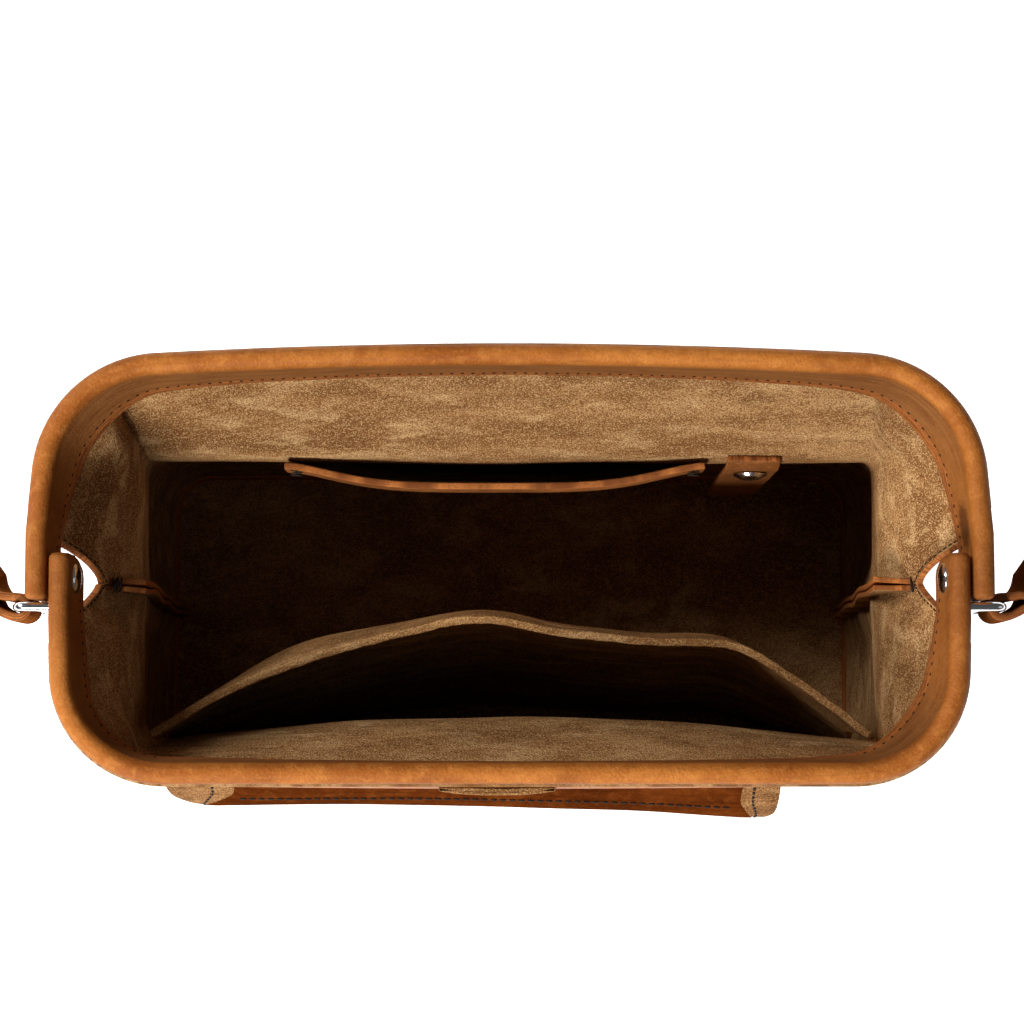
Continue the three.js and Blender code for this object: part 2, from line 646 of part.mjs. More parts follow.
/** Shoulder strap, folded back on itself round both loops. */
function strap() {
  const run = strapRun();
  const back = run.map(({ centre, along, width }) => ({ centre, along: along.clone().negate(), width }));
  const rightFold = strapFold(run, 1);
  const leftFold = strapFold(back.reverse(), -1).reverse();
  leftFold.forEach((place) => place.along.negate());
  const contour = [
    new THREE.Vector2(-STRAP_WIDTH / 2, -STRAP_THICKNESS / 2),
    new THREE.Vector2(STRAP_WIDTH / 2, -STRAP_THICKNESS / 2),
    new THREE.Vector2(STRAP_WIDTH / 2, STRAP_THICKNESS / 2),
    new THREE.Vector2(-STRAP_WIDTH / 2, STRAP_THICKNESS / 2),
  ];
  const rings = [...rightFold, ...run, ...leftFold].map(({ centre, along, width }) => {
    const across = new THREE.Vector3().crossVectors(width, along);
    return contour.map((point) =>
      centre.clone().addScaledVector(width, point.x).addScaledVector(across, point.y),
    );
  });
  return solidThrough(rings, contour);
}

/** Full-width pocket inside the front, open at the top and bulging into the bag. */
function innerFrontPocket() {
  const readLevel = levelReader(FRONT_POCKET_LEVELS);
  const rim = new THREE.CatmullRomCurve3(FRONT_POCKET_RIM.map(({ x, y }) => new THREE.Vector3(x, y, 0)));
  const rimEnd = FRONT_POCKET_RIM[FRONT_POCKET_RIM.length - 1];
  const slump = FRONT_POCKET_SLUMP;
  const grid = FRONT_POCKET_ROWS_Z.map((z) => {
    const level = readLevel(z);
    return Array.from({ length: FRONT_POCKET_COLUMNS + 1 }, (_, column) => {
      const point = rim.getPoint(column / FRONT_POCKET_COLUMNS);
      const x = (point.x * level.end) / rimEnd.x;
      const across = (point.x - slump.x) / slump.width;
      const height = (z - slump.z) / slump.height;
      const sag = slump.depth * Math.exp(-across * across - height * height);
      return new THREE.Vector3(x, level.line + level.bulge * (point.y - rimEnd.y) + sag, z);
    });
  });
  return thickened(grid, () => FRONT_POCKET_THICKNESS);
}

/** Narrower pocket inside the back, sewn to the wall at its sides and bottom. */
function innerBackPocket() {
  const { left, right, top, bottom, bulge, thickness } = BACK_POCKET;
  const grid = BACK_POCKET_ROWS_Z.map((z) => {
    const swell = Math.min(1, (BACK_POCKET_SWELL * (z - bottom)) / (top - bottom));
    return Array.from({ length: BACK_POCKET_COLUMNS + 1 }, (_, column) => {
      const across = (2 * column) / BACK_POCKET_COLUMNS - 1;
      const x = THREE.MathUtils.lerp(left, right, column / BACK_POCKET_COLUMNS);
      const belly = bulge * (1 - across ** 4) ** 2 * Math.sin((Math.PI / 2) * swell);
      const wallInside = wallY("back", x, z) - WALL;
      return new THREE.Vector3(x, wallInside - BACK_POCKET_GAP - thickness / 2 - belly, z);
    });
  });
  return thickened(grid, () => thickness);
}

/** Y of the middle of the strip, which lies on the back wall and hangs from its narrowest place. */
function keyStrapY(z) {
  const wallInside = wallY("back", KEY_STRAP.right, Math.max(z, WAIST_Z)) - WALL;
  return wallInside - BACK_POCKET_GAP - KEY_STRAP.thickness / 2;
}

/** Strip with rounded lower corners. */
function keyStrap() {
  const { left, right, bottom, thickness } = KEY_STRAP;
  const columns = 4;
  const roundOff = 4;
  const grid = KEY_STRAP_ROWS_Z.map((z) => {
    const cut = roundOff * Math.max(0, 1 - (z - bottom) / roundOff) ** 2;
    return Array.from({ length: columns + 1 }, (_, column) => {
      const x = THREE.MathUtils.lerp(left + cut, right - cut, column / columns);
      return new THREE.Vector3(x, keyStrapY(z), z);
    });
  });
  return thickened(grid, () => thickness);
}

/** Domed snap cap on the face of the strip. */
function keySnap() {
  const steps = 5;
  const sides = 20;
  const profile = Array.from({ length: steps + 1 }, (_, step) => {
    const angle = ((Math.PI / 2) * step) / steps;
    return new THREE.Vector2(KEY_SNAP.radius * Math.cos(angle), KEY_SNAP.height * Math.sin(angle));
  });
  profile[steps].x = 0;
  const cap = new THREE.LatheGeometry([new THREE.Vector2(0, 0), ...profile], sides).rotateZ(Math.PI);
  const x = (KEY_STRAP.left + KEY_STRAP.right) / 2;
  const z = KEY_STRAP.top - KEY_SNAP.belowTop;
  cap.translate(x, keyStrapY(z) - KEY_STRAP.thickness / 2 - KEY_SNAP.gap, z);
  return geometryOf(manifoldOf(cap));
}

/** How much further out the outer pocket and its flap stand at a place along their width. */
function outerSpread(x) {
  const { start, depth } = OUTER_SPREAD;
  return depth * (Math.max(0, x - start) / (OUTER_POCKET.right - start)) ** 2;
}

/** Pocket outside the front: a face and two side gussets, drawn in to the body at the bottom. */
function outerPocket() {
  const { left, right, thickness, corner, tightest } = OUTER_POCKET;
  const outer = [];
  const inner = [];
  for (const { z, depthY, spread } of OUTER_POCKET_LEVELS) {
    const root = (x) => new THREE.Vector2(x, wallY("front", x, z) + OUTER_POCKET_GAP);
    const face = Array.from({ length: OUTER_POCKET_COLUMNS + 1 }, (_, column) => {
      const x = THREE.MathUtils.lerp(right, left, column / OUTER_POCKET_COLUMNS);
      return new THREE.Vector2(x, depthY + spread * outerSpread(x));
    });
    const [rightEnd, leftEnd] = [face[0], face[OUTER_POCKET_COLUMNS]];
    const [besideRight, besideLeft] = [face[1], face[OUTER_POCKET_COLUMNS - 1]];
    const shallow = Math.min(leftEnd.y - root(left).y, rightEnd.y - root(right).y);
    const radius = Math.min(corner, tightest * shallow);
    const line = [
      root(right),
      ...roundedCorner(root(right), rightEnd, besideRight, radius, OUTER_POCKET_CORNER_STEPS),
      ...face.slice(1, -1),
      ...roundedCorner(besideLeft, leftEnd, root(left), radius, OUTER_POCKET_CORNER_STEPS),
      root(left),
    ];
    const lift = (point) => new THREE.Vector3(point.x, -point.y, z);
    outer.push(line.map(lift));
    inner.push(offsetLine(line, thickness).map(lift));
  }
  return solidBetween(outer, inner);
}

/** Flap that slopes out from the body over the outer pocket. */
function pocketFlap() {
  const grid = FLAP_ROWS.map(({ out, z, leftCut, rightCut }) =>
    Array.from({ length: FLAP_COLUMNS + 1 }, (_, column) => {
      const share = column / FLAP_COLUMNS;
      const x = THREE.MathUtils.lerp(OUTER_POCKET.left + leftCut, OUTER_POCKET.right - rightCut, share);
      const reach = out + (outerSpread(x) * out) / FLAP_REACH;
      return new THREE.Vector3(x, -(wallY("front", x, FLAP_ROOT_Z) + reach), z);
    }),
  );
  return thickened(grid, () => FLAP_THICKNESS);
}

/** Short tab with rounded lower corners and thin ends, just outside the front rim. */
function frontTab() {
  const middle = (TAB.left + TAB.right) / 2;
  const half = (TAB.right - TAB.left) / 2;
  const grid = TAB_ROWS.map(({ z, width }) =>
    Array.from({ length: TAB_COLUMNS + 1 }, (_, column) => {
      const across = (2 * column) / TAB_COLUMNS - 1;
      return new THREE.Vector3(middle + across * width * half, TAB.y + TAB.bend * across ** 2, z);
    }),
  );
  const thicknessAt = (row, column) => {
    const across = (2 * column) / TAB_COLUMNS - 1;
    return THREE.MathUtils.lerp(TAB.thickness, TAB.endThickness, across ** 4);
  };
  return thickened(grid, thicknessAt);
}

place("base", base(), TAN_GRAIN);
place("body_back", bodyHalf("back", 1), TAN_GRAIN);
place("body_front", bodyHalf("front", -1), TAN_GRAIN);
place("rim_back", rimHalf(BACK_RIM, 1), TAN_GRAIN);
place("rim_front", rimHalf(FRONT_RIM, -1), TAN_GRAIN);
for (const [name, side] of [["left", -1], ["right", 1]]) {
  place(`hinge_rivet_${name}`, hingeRivet(side), POLISHED);
  place(`strap_loop_${name}`, strapLoop(side), POLISHED);
}
place("strap", strap(), DARK_GRAIN);
place("pocket_outer", outerPocket(), DARK_GRAIN);
place("pocket_flap", pocketFlap(), DARK_GRAIN);
place("front_tab", frontTab(), TAN_GRAIN);
place("pocket_inner_front", innerFrontPocket(), SUEDE);
place("pocket_inner_back", innerBackPocket(), SUEDE);
place("key_strap", keyStrap(), TAN_GRAIN);
place("key_snap", keySnap(), POLISHED);

export default handbag;
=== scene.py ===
"""Frame-top leather handbag, standing open on its base with its shoulder strap laid behind it.

Sizes are millimetres in the bag's own frame: +X to its right, +Y to its back, +Z up, and the origin
under the middle of the base. Meshes are made from them in metres.
"""
import json
import logging
import math
from dataclasses import dataclass, field
from enum import Enum
from typing import Callable, Iterable, Sequence

import bpy
import numpy as np
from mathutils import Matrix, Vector, noise


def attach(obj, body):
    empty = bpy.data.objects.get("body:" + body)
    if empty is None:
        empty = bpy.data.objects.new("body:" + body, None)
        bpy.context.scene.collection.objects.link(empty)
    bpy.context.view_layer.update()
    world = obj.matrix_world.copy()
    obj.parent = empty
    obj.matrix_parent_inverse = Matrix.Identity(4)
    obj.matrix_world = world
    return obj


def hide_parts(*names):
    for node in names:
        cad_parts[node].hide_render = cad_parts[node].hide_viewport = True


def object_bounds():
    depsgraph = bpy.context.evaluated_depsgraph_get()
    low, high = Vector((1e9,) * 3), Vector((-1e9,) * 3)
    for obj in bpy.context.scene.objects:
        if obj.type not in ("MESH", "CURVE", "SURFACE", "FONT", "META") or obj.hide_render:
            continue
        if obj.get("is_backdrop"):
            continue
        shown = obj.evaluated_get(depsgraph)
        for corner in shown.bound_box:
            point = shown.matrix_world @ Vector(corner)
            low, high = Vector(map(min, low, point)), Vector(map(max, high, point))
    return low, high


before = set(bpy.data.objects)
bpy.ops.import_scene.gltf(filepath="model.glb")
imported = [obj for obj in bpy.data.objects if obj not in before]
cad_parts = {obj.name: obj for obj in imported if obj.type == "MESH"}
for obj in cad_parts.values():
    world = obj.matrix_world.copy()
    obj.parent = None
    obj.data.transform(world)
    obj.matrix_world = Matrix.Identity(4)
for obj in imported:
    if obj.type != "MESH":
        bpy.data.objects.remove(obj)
CAD_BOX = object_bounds()

LOG = logging.getLogger("handbag")
BODY = "root"
MM = 0.001

Colour = tuple[float, float, float]
Point = tuple[float, float, float]
Piece = bpy.types.Object
Marks = dict[str, np.ndarray]

# Leather thickness, and the heights of the rim
WALL = 2.0
BEAD_Z = 206.0
BEAD_RADIUS = 3.2
FACING_DEPTH = 18.0
BODY_TOP_Z = 203.0
BODY_OFFSET = 4.0
KNEE_Y = 13.0
TIP_REACH = 7.0
RIVET_Z = BEAD_Z - 9.5

# Side seam, the notch above it, and the narrowest level of the body
WAIST_Z = 145.0
SEAM_TOP_Z = 170.0
NOTCH_TOP_Z = 187.0
ALLOWANCE_TOP_Z = 165.0
SEAM_GAP = 0.06
BODY_FOOT_Z = 8.3
FACING_FOOT_Z = BEAD_Z - FACING_DEPTH


class Half(Enum):
    """The two halves of the bag, by the sign of y on their side of the hinge line."""

    BACK = 1
    FRONT = -1


class Hand(Enum):
    """The two ends of the bag, by the sign of x."""

    LEFT = -1
    RIGHT = 1


class Layer(Enum):
    """Material slots of a leather wall, in order."""

    OUTSIDE = 0
    INSIDE = 1
    EDGE = 2
    FRAYED = 3


# Shader arithmetic


class Value:
    """A shader socket that takes part in Python arithmetic."""

    def __init__(self, shader: "Shader", socket: bpy.types.NodeSocket) -> None:
        """Wrap an output socket of a shader's nodes."""
        self.shader = shader
        self.socket = socket

    def math(self, operation: str, *operands: "Value | float") -> "Value":
        """Add a Math node.

        Args:
            operation: Name of the node's operation.
            operands: Sockets or numbers that it works on, in order.

        Returns:
            The node's result.
        """
        return self.shader.node("ShaderNodeMath", {"operation": operation}, dict(enumerate(operands)))

    def __add__(self, other: "Value | float") -> "Value":
        """Sum."""
        return self.math("ADD", self, other)

    def __radd__(self, other: float) -> "Value":
        """Sum with a number on the left."""
        return self.math("ADD", other, self)

    def __sub__(self, other: "Value | float") -> "Value":
        """Difference."""
        return self.math("SUBTRACT", self, other)

    def __rsub__(self, other: float) -> "Value":
        """Difference from a number."""
        return self.math("SUBTRACT", other, self)

    def __mul__(self, other: "Value | float") -> "Value":
        """Product."""
        return self.math("MULTIPLY", self, other)

    def ramp(self, low: float, high: float) -> "Value":
        """Smooth step.

        Args:
            low: Value that becomes 0.
            high: Value that becomes 1.

        Returns:
            The eased share between the two.
        """
        inputs = {"Value": self, "From Min": low, "From Max": high}
        return self.shader.node("ShaderNodeMapRange", {"interpolation_type": "SMOOTHSTEP"}, inputs)


class Shader:
    """Node tree of one material."""

    def __init__(self, name: str) -> None:
        """Start a material with a plain surface shader.

        Args:
            name: Name of the material.
        """
        self.material = bpy.data.materials.new(name)
        self.material.use_nodes = True
        self.tree = self.material.node_tree
        self.surface = self.tree.nodes["Principled BSDF"]

    def node(self, kind: str, settings: dict, inputs: dict, output: int = 0) -> Value:
        """Add any node.

        Args:
            kind: Type of the node.
            settings: Properties of the node, set before its sockets.
            inputs: Values or links by the name or number of the socket.
            output: Number of the output socket to give back.

        Returns:
            The wrapped output socket.
        """
        node = self.tree.nodes.new(kind)
        for key, setting in settings.items():
            setattr(node, key, setting)
        for key, value in inputs.items():
            if isinstance(value, Value):
                self.tree.links.new(value.socket, node.inputs[key])
            else:
                node.inputs[key].default_value = value
        return Value(self, node.outputs[output])

    def place(self) -> Value:
        """Object coordinates."""
        return self.node("ShaderNodeTexCoord", {}, {}, output=3)

    def run(self) -> Value:
        """Coordinates along and across the piece, in metres."""
        return self.node("ShaderNodeTexCoord", {}, {}, output=2)

    def attribute(self, name: str) -> Value:
        """Number stored on the vertices of the piece."""
        return self.node("ShaderNodeAttribute", {"attribute_name": name}, {}, output=2)

    def scaled(self, vector: Value, scale: Point) -> Value:
        """Coordinates stretched by a factor along each axis."""
        return self.node("ShaderNodeVectorMath", {"operation": "MULTIPLY"}, {0: vector, 1: scale})

    def noise(self, vector: Value, scale: float, detail: float = 3.0, distortion: float = 0.0) -> Value:
        """Cloudy noise.

        Args:
            vector: Coordinates in metres.
            scale: Clouds to the metre.
            detail: Number of finer layers.
            distortion: How far the clouds are pulled out of shape.

        Returns:
            A value around one half.
        """
        inputs = {"Vector": vector, "Scale": scale, "Detail": detail, "Distortion": distortion}
        return self.node("ShaderNodeTexNoise", {}, inputs)

    def cells(self, vector: Value, scale: float) -> Value:
        """Distance from the middle of irregular cells, as between pores."""
        return self.node("ShaderNodeTexVoronoi", {"feature": "F1"}, {"Vector": vector, "Scale": scale})

    def mix(self, share: "Value | float", low: "Value | Colour", high: "Value | Colour") -> Value:
        """Blend of two colours.

        Args:
            share: 0 for the first colour, 1 for the second.
            low: First colour.
            high: Second colour.

        Returns:
            The blended colour.
        """
        inputs = {0: share, 6: self._colour(low), 7: self._colour(high)}
        return self.node("ShaderNodeMix", {"data_type": "RGBA"}, inputs, output=2)

    @staticmethod
    def _colour(colour: "Value | Colour") -> "Value | tuple[float, ...]":
        """A colour with its fourth channel, or a link as it is."""
        return colour if isinstance(colour, Value) else (*colour, 1.0)

    def bump(self, height: Value, depth: float, strength: float = 1.0) -> Value:
        """Normals of a relief.

        Args:
            height: Relief between 0 and 1.
            depth: Metres between the two.
            strength: Share of the relief that shows.

        Returns:
            The bent normals.
        """
        inputs = {"Height": height, "Distance": depth, "Strength": strength}
        return self.node("ShaderNodeBump", {}, inputs)

    def finish(self, sockets: "dict[str, Value | float | Colour]") -> bpy.types.Material:
        """Feed the surface shader.

        Args:
            sockets: Values or links by the name of the socket.

        Returns:
            The finished material.
        """
        for key, value in sockets.items():
            socket = self.surface.inputs[key]
            if isinstance(value, Value):
                self.tree.links.new(value.socket, socket)
            elif isinstance(value, tuple):
                socket.default_value = self._colour(value)
            else:
                socket.default_value = value
        return self.material


# Finishes


@dataclass(frozen=True)
class Stain:
    """A dark patch on leather: its middle and half sizes, in millimetres."""

    middle: Point
    half: Point
    grain: float = 700.0
    ragged: float = 0.7
    border: tuple[float, float] = (0.55, 1.05)

    def mask(self, shader: Shader, place: Value) -> Value:
        """Lay out the stain, with a ragged border.

        Args:
            shader: Nodes of the leather.
            place: Object coordinates.

        Returns:
            The share of the stain at each place.
        """
        inverse = tuple(1 / (size * MM) for size in self.half)
        moved = shader.node(
            "ShaderNodeVectorMath",
            {"operation": "SUBTRACT"},
            {0: place, 1: tuple(value * MM for value in self.middle)},
        )
        away = shader.node(
            "ShaderNodeVectorMath",
            {"operation": "LENGTH"},
            {0: shader.scaled(moved, inverse)},
            output=1,
        )
        ragged = away + (shader.noise(place, self.grain) - 0.5) * self.ragged
        return 1 - ragged.ramp(*self.border)


@dataclass(frozen=True)
class GrainLeather:
    """Smooth side of tanned leather: pores, soft clouds of colour, drawn streaks, and darkening marked
    on the vertices that is partly real wear and partly painted shade.
    """

    name: str
    deep: Colour
    tone: Colour
    light: Colour
    # Dark colour of streaks, stains, real wear and painted shade
    worn_and_shaded: Colour = (0.085, 0.026, 0.007)
    lower: Colour = (0.235, 0.098, 0.031)
    roughness: float = 0.58
    gloss: float = 0.2
    pores: float = 1100.0
    relief: float = 0.0003
    streaks: float = 0.15
    stains: tuple[Stain, ...] = ()

    def material(self) -> bpy.types.Material:
        """Build the finish."""
        shader = Shader(self.name)
        place = shader.place()
        clouds = shader.noise(place, 30.0, 3.0, 0.8)
        mottle = shader.noise(place, 260.0, 3.0, 0.5)
        fine = shader.noise(place, 1300.0, 2.0, 0.6)
        pores = shader.cells(place, self.pores)
        drawn = shader.noise(shader.scaled(shader.run(), (55.0, 700.0, 1.0)), 1.0, 3.0, 0.6)
        colour = shader.mix(clouds.ramp(0.32, 0.68), self.deep, self.tone)
        colour = shader.mix(mottle.ramp(0.46, 0.75) * 0.42, colour, self.light)
        colour = shader.mix((1 - mottle.ramp(0.28, 0.48)) * 0.3, colour, self.deep)
        colour = shader.mix((1 - fine.ramp(0.3, 0.5)) * 0.36, colour, self.deep)
        colour = shader.mix(fine.ramp(0.52, 0.74) * 0.35, colour, self.light)
        colour = shader.mix((1 - pores.ramp(0.08, 0.4)) * 0.25, colour, self.deep)
        lower = shader.mix(drawn.ramp(0.34, 0.66) * 0.7 + 0.3, self.worn_and_shaded, self.lower)
        lower = shader.mix(fine.ramp(0.4, 0.7) * 0.35, lower, self.lower)
        # The facing's own darker, streaked leather; the same mark lays painted shade on the inner side
        # of the bead
        colour = shader.mix(shader.attribute("lower") * 0.85, colour, lower)
        colour = shader.mix(drawn.ramp(0.5, 0.7) * self.streaks, colour, self.worn_and_shaded)
        for stain in self.stains:
            colour = shader.mix(stain.mask(shader, place) * 0.85, colour, self.worn_and_shaded)
        # Darker by the mark on the vertices: real wear and painted shade
        colour = shader.mix(shader.attribute("wear_and_shade"), colour, self.worn_and_shaded)
        rough = self.roughness + (mottle - 0.5) * 0.3 + (fine - 0.5) * 0.25
        height = pores * 0.4 + fine * 0.5 + mottle * 0.8
        return shader.finish({
            "Base Color": colour,
            "Roughness": rough,
            "Normal": shader.bump(height, self.relief, 0.7),
            "Specular IOR Level": self.gloss,
        })


@dataclass(frozen=True)
class Suede:
    """Flesh side of leather: a mottled nap of short fibres."""

    name: str
    deep: Colour
    tone: Colour
    light: Colour
    relief: float = 0.001

    def material(self) -> bpy.types.Material:
        """Build the finish."""
        shader = Shader(self.name)
        place = shader.place()
        brushed = shader.scaled(place, (0.5, 0.9, 1.7))
        drift = shader.noise(brushed, 26.0, 3.0, 0.7)
        clouds = shader.noise(brushed, 95.0, 4.0, 0.5)
        tufts = shader.noise(brushed, 520.0, 3.0, 0.4)
        fibres = shader.noise(place, 2100.0, 1.0, 0.3)
        colour = shader.mix(drift.ramp(0.3, 0.62), self.deep, self.tone)
        colour = shader.mix(drift.ramp(0.52, 0.74) * 0.35, colour, self.light)
        colour = shader.mix(clouds.ramp(0.5, 0.7) * 0.65, colour, self.light)
        colour = shader.mix((1 - clouds.ramp(0.32, 0.5)) * 0.75, colour, self.deep)
        colour = shader.mix(tufts.ramp(0.5, 0.72) * 0.3, colour, self.light)
        colour = shader.mix((1 - tufts.ramp(0.3, 0.48)) * 0.32, colour, self.deep)
        colour = shader.mix((1 - fibres.ramp(0.34, 0.52)) * 0.74, colour, self.deep)
        colour = shader.mix(fibres.ramp(0.5, 0.66) * 0.62, colour, self.light)
        # Darker by the mark on the vertices: real wear and painted shade
        colour = shader.mix(shader.attribute("wear_and_shade"), colour, self.deep)
        height = fibres * 0.5 + tufts * 0.7 + clouds * 0.7
        return shader.finish({
            "Base Color": colour,
            "Roughness": 0.9 + (fibres - 0.5) * 0.15,
            "Normal": shader.bump(height, self.relief, 0.9),
            "Specular IOR Level": 0.1,
        })


@dataclass(frozen=True)
class CutEdge:
    """Raw edge of a leather sheet, with the lines of its layers."""

    name: str
    deep: Colour
    light: Colour

    def material(self) -> bpy.types.Material:
        """Build the finish."""
        shader = Shader(self.name)
        place = shader.place()
        lines = shader.noise(shader.scaled(shader.run(), (90.0, 2600.0, 1.0)), 1.0, 3.0)
        crumbs = shader.noise(place, 900.0, 4.0, 1.0)
        colour = shader.mix(lines.ramp(0.35, 0.65), self.deep, self.light)
        colour = shader.mix((1 - crumbs.ramp(0.3, 0.55)) * 0.6, colour, self.deep)
        # Darker by the mark on the vertices: real wear and painted shade
        colour = shader.mix(shader.attribute("wear_and_shade"), colour, self.deep)
        return shader.finish({
            "Base Color": colour,
            "Roughness": 0.8 + (crumbs - 0.5) * 0.2,
            "Normal": shader.bump(crumbs, 0.0004, 0.8),
            "Specular IOR Level": 0.2,
        })


@dataclass(frozen=True)
class Thread:
    """Waxed sewing thread."""

    name: str
    tone: Colour
    light: Colour

    def material(self) -> bpy.types.Material:
        """Build the finish."""
        shader = Shader(self.name)
        place = shader.place()
        twist = shader.noise(place, 2600.0, 2.0)
        colour = shader.mix(twist.ramp(0.35, 0.7), self.tone, self.light)
        return shader.finish({
            "Base Color": colour,
            "Roughness": 0.55 + (twist - 0.5) * 0.3,
            "Normal": shader.bump(twist, 0.0002, 0.6),
            "Specular IOR Level": 0.1,
        })


@dataclass(frozen=True)
class PolishedMetal:
    """Bright plated metal with faint smears."""

    name: str
    tone: Colour
    dull: Colour

    def material(self) -> bpy.types.Material:
        """Build the finish."""
        shader = Shader(self.name)
        place = shader.place()
        smears = shader.noise(place, 240.0, 4.0, 0.8)
        scratches = shader.noise(shader.scaled(place, (300.0, 4000.0, 4000.0)), 1.0, 2.0)
        colour = shader.mix(smears.ramp(0.4, 0.75), self.tone, self.dull)
        rough = 0.1 + smears * 0.14 + scratches.ramp(0.5, 0.8) * 0.08
        return shader.finish({
            "Base Color": colour,
            "Metallic": 1.0,
            "Roughness": rough,
            "Normal": shader.bump(smears, 0.00008, 0.3),
        })


RIM_LEATHER = GrainLeather(
    "rim_grain",
    deep=(0.29, 0.080, 0.011),
    tone=(0.45, 0.150, 0.025),
    light=(0.57, 0.221, 0.049),
    gloss=0.12,
    stains=(
        Stain(middle=(3.0, -61.2, 204.4), half=(4.2, 2.0, 2.0)),
        Stain(middle=(22.0, -61.2, 204.4), half=(2.4, 1.6, 1.6)),
        Stain(middle=(136.5, 15.0, 199.0), half=(3.5, 9.0, 6.0)),
    ),
)
BODY_LEATHER = GrainLeather(
    "body_grain",
    deep=(0.27, 0.074, 0.012),
    tone=(0.41, 0.132, 0.026),
    light=(0.52, 0.190, 0.048),
)
POCKET_LEATHER = GrainLeather(
    "pocket_grain",
    deep=(0.060, 0.012, 0.002),
    tone=(0.115, 0.026, 0.004),
    light=(0.185, 0.052, 0.010),
    worn_and_shaded=(0.030, 0.006, 0.001),
    roughness=0.8,
    gloss=0.0,
    streaks=0.5,
)
STRIP_LEATHER = GrainLeather(
    "strip_grain",
    deep=(0.17, 0.055, 0.012),
    tone=(0.31, 0.105, 0.025),
    light=(0.43, 0.165, 0.048),
)
STRAP_LEATHER = GrainLeather(
    "strap_grain",
    deep=(0.12, 0.034, 0.007),
    tone=(0.26, 0.080, 0.017),
    light=(0.38, 0.135, 0.035),
    worn_and_shaded=(0.06, 0.016, 0.003),
    roughness=0.8,
    gloss=0.0,
    streaks=0.4,
)
WALL_SUEDE = Suede(
    "wall_suede",
    deep=(0.155, 0.058, 0.014),
    tone=(0.36, 0.180, 0.064),
    light=(0.62, 0.390, 0.180),
)
POCKET_SUEDE = Suede(
    "pocket_suede",
    deep=(0.105, 0.046, 0.013),
    tone=(0.27, 0.132, 0.045),
    light=(0.50, 0.300, 0.130),
)
RAW_RIM = Suede(
    "raw_rim",
    deep=(0.20, 0.085, 0.024),
    tone=(0.42, 0.210, 0.075),
    light=(0.62, 0.380, 0.170),
)
FLAP_END = Suede(
    "flap_end",
    deep=(0.085, 0.030, 0.007),
    tone=(0.24, 0.100, 0.030),
    light=(0.44, 0.230, 0.085),
)
PALE_EDGE = CutEdge("pale_edge", deep=(0.26, 0.115, 0.036), light=(0.58, 0.330, 0.135))
ORANGE_EDGE = CutEdge("orange_edge", deep=(0.17, 0.047, 0.009), light=(0.46, 0.155, 0.035))
DARK_THREAD = Thread("dark_thread", tone=(0.010, 0.006, 0.004), light=(0.035, 0.02, 0.011))
NICKEL = PolishedMetal("nickel", tone=(0.82, 0.82, 0.83), dull=(0.62, 0.62, 0.63))

Finish = GrainLeather | Suede | CutEdge | Thread | PolishedMetal


# Modelling moves


def clear_selection() -> None:
    """Deselect every object."""
    bpy.ops.object.select_all(action="DESELECT")


def pick(piece: Piece) -> None:
    """Make one object the only selected and active one."""
    clear_selection()
    piece.select_set(True)
    bpy.context.view_layer.objects.active = piece


def rename(piece: Piece, name: str) -> Piece:
    """Name an object and its mesh alike."""
    piece.name = name
    piece.data.name = name
    return piece


def grid_normals(points: np.ndarray) -> np.ndarray:
    """Unit normals of a grid of points, on the side where columns cross rows.

    Args:
        points: Places by row and column.

    Returns:
        A normal for each place.
    """
    normals = np.cross(np.gradient(points, axis=1), np.gradient(points, axis=0))
    length = np.linalg.norm(normals, axis=2, keepdims=True)
    return normals / np.maximum(length, 1e-9)


def facing(points: np.ndarray, outward: Point) -> np.ndarray:
    """The same grid, turned so that its middle faces a direction.

    Args:
        points: Places by row and column.
        outward: Direction that the middle of the grid should face.

    Returns:
        The grid, with its columns reversed if it faced the other way.
    """
    normals = grid_normals(points)
    middle = normals[points.shape[0] // 2, points.shape[1] // 2]
    return points if float(np.dot(middle, outward)) > 0 else points[:, ::-1]


def run_lengths(points: np.ndarray, axis: int) -> np.ndarray:
    """Distance travelled along one axis of a grid of points.

    Args:
        points: Places by row and column.
        axis: 0 along the rows, 1 along the columns.

    Returns:
        The distance for each place, from 0 at the start.
    """
    steps = np.linalg.norm(np.diff(points, axis=axis), axis=2)
    start = np.zeros_like(np.take(steps, [0], axis=axis))
    return np.concatenate([start, np.cumsum(steps, axis=axis)], axis=axis)


def sheet(name: str, points: np.ndarray, bands: Sequence[int] = (), marks: Marks | None = None) -> Piece:
    """Lay a grid primitive on a surface, with a UV map in metres.

    Args:
        name: Name of the new object.
        points: Places by row and column, in millimetres.
        bands: Material slot of each row of faces, if they differ.
        marks: Numbers from 0 to 1 for each place, by the name that the finish reads them under.

    Returns:
        The new object.
    """
    rows, columns = points.shape[:2]
    clear_selection()
    bpy.ops.mesh.primitive_grid_add(x_subdivisions=columns - 1, y_subdivisions=rows - 1, size=2)
    piece = rename(bpy.context.object, name)
    mesh = piece.data
    mesh.vertices.foreach_set("co", (points * MM).astype(np.float32).ravel())
    run = np.stack([run_lengths(points, 1), run_lengths(points, 0)], axis=2).reshape(-1, 2) * MM
    corners = np.empty(len(mesh.loops), np.int32)
    mesh.loops.foreach_get("vertex_index", corners)
    mesh.uv_layers[0].data.foreach_set("uv", run[corners].astype(np.float32).ravel())
    for _ in Layer:
        mesh.materials.append(None)
    if len(bands):
        slots = np.repeat(np.asarray(bands, np.int32), columns - 1)
        mesh.polygons.foreach_set("material_index", slots)
    for key, values in (marks or {}).items():
        layer = mesh.attributes.new(key, "FLOAT", "POINT")
        layer.data.foreach_set("value", values.astype(np.float32).ravel())
    mesh.update()
    return piece


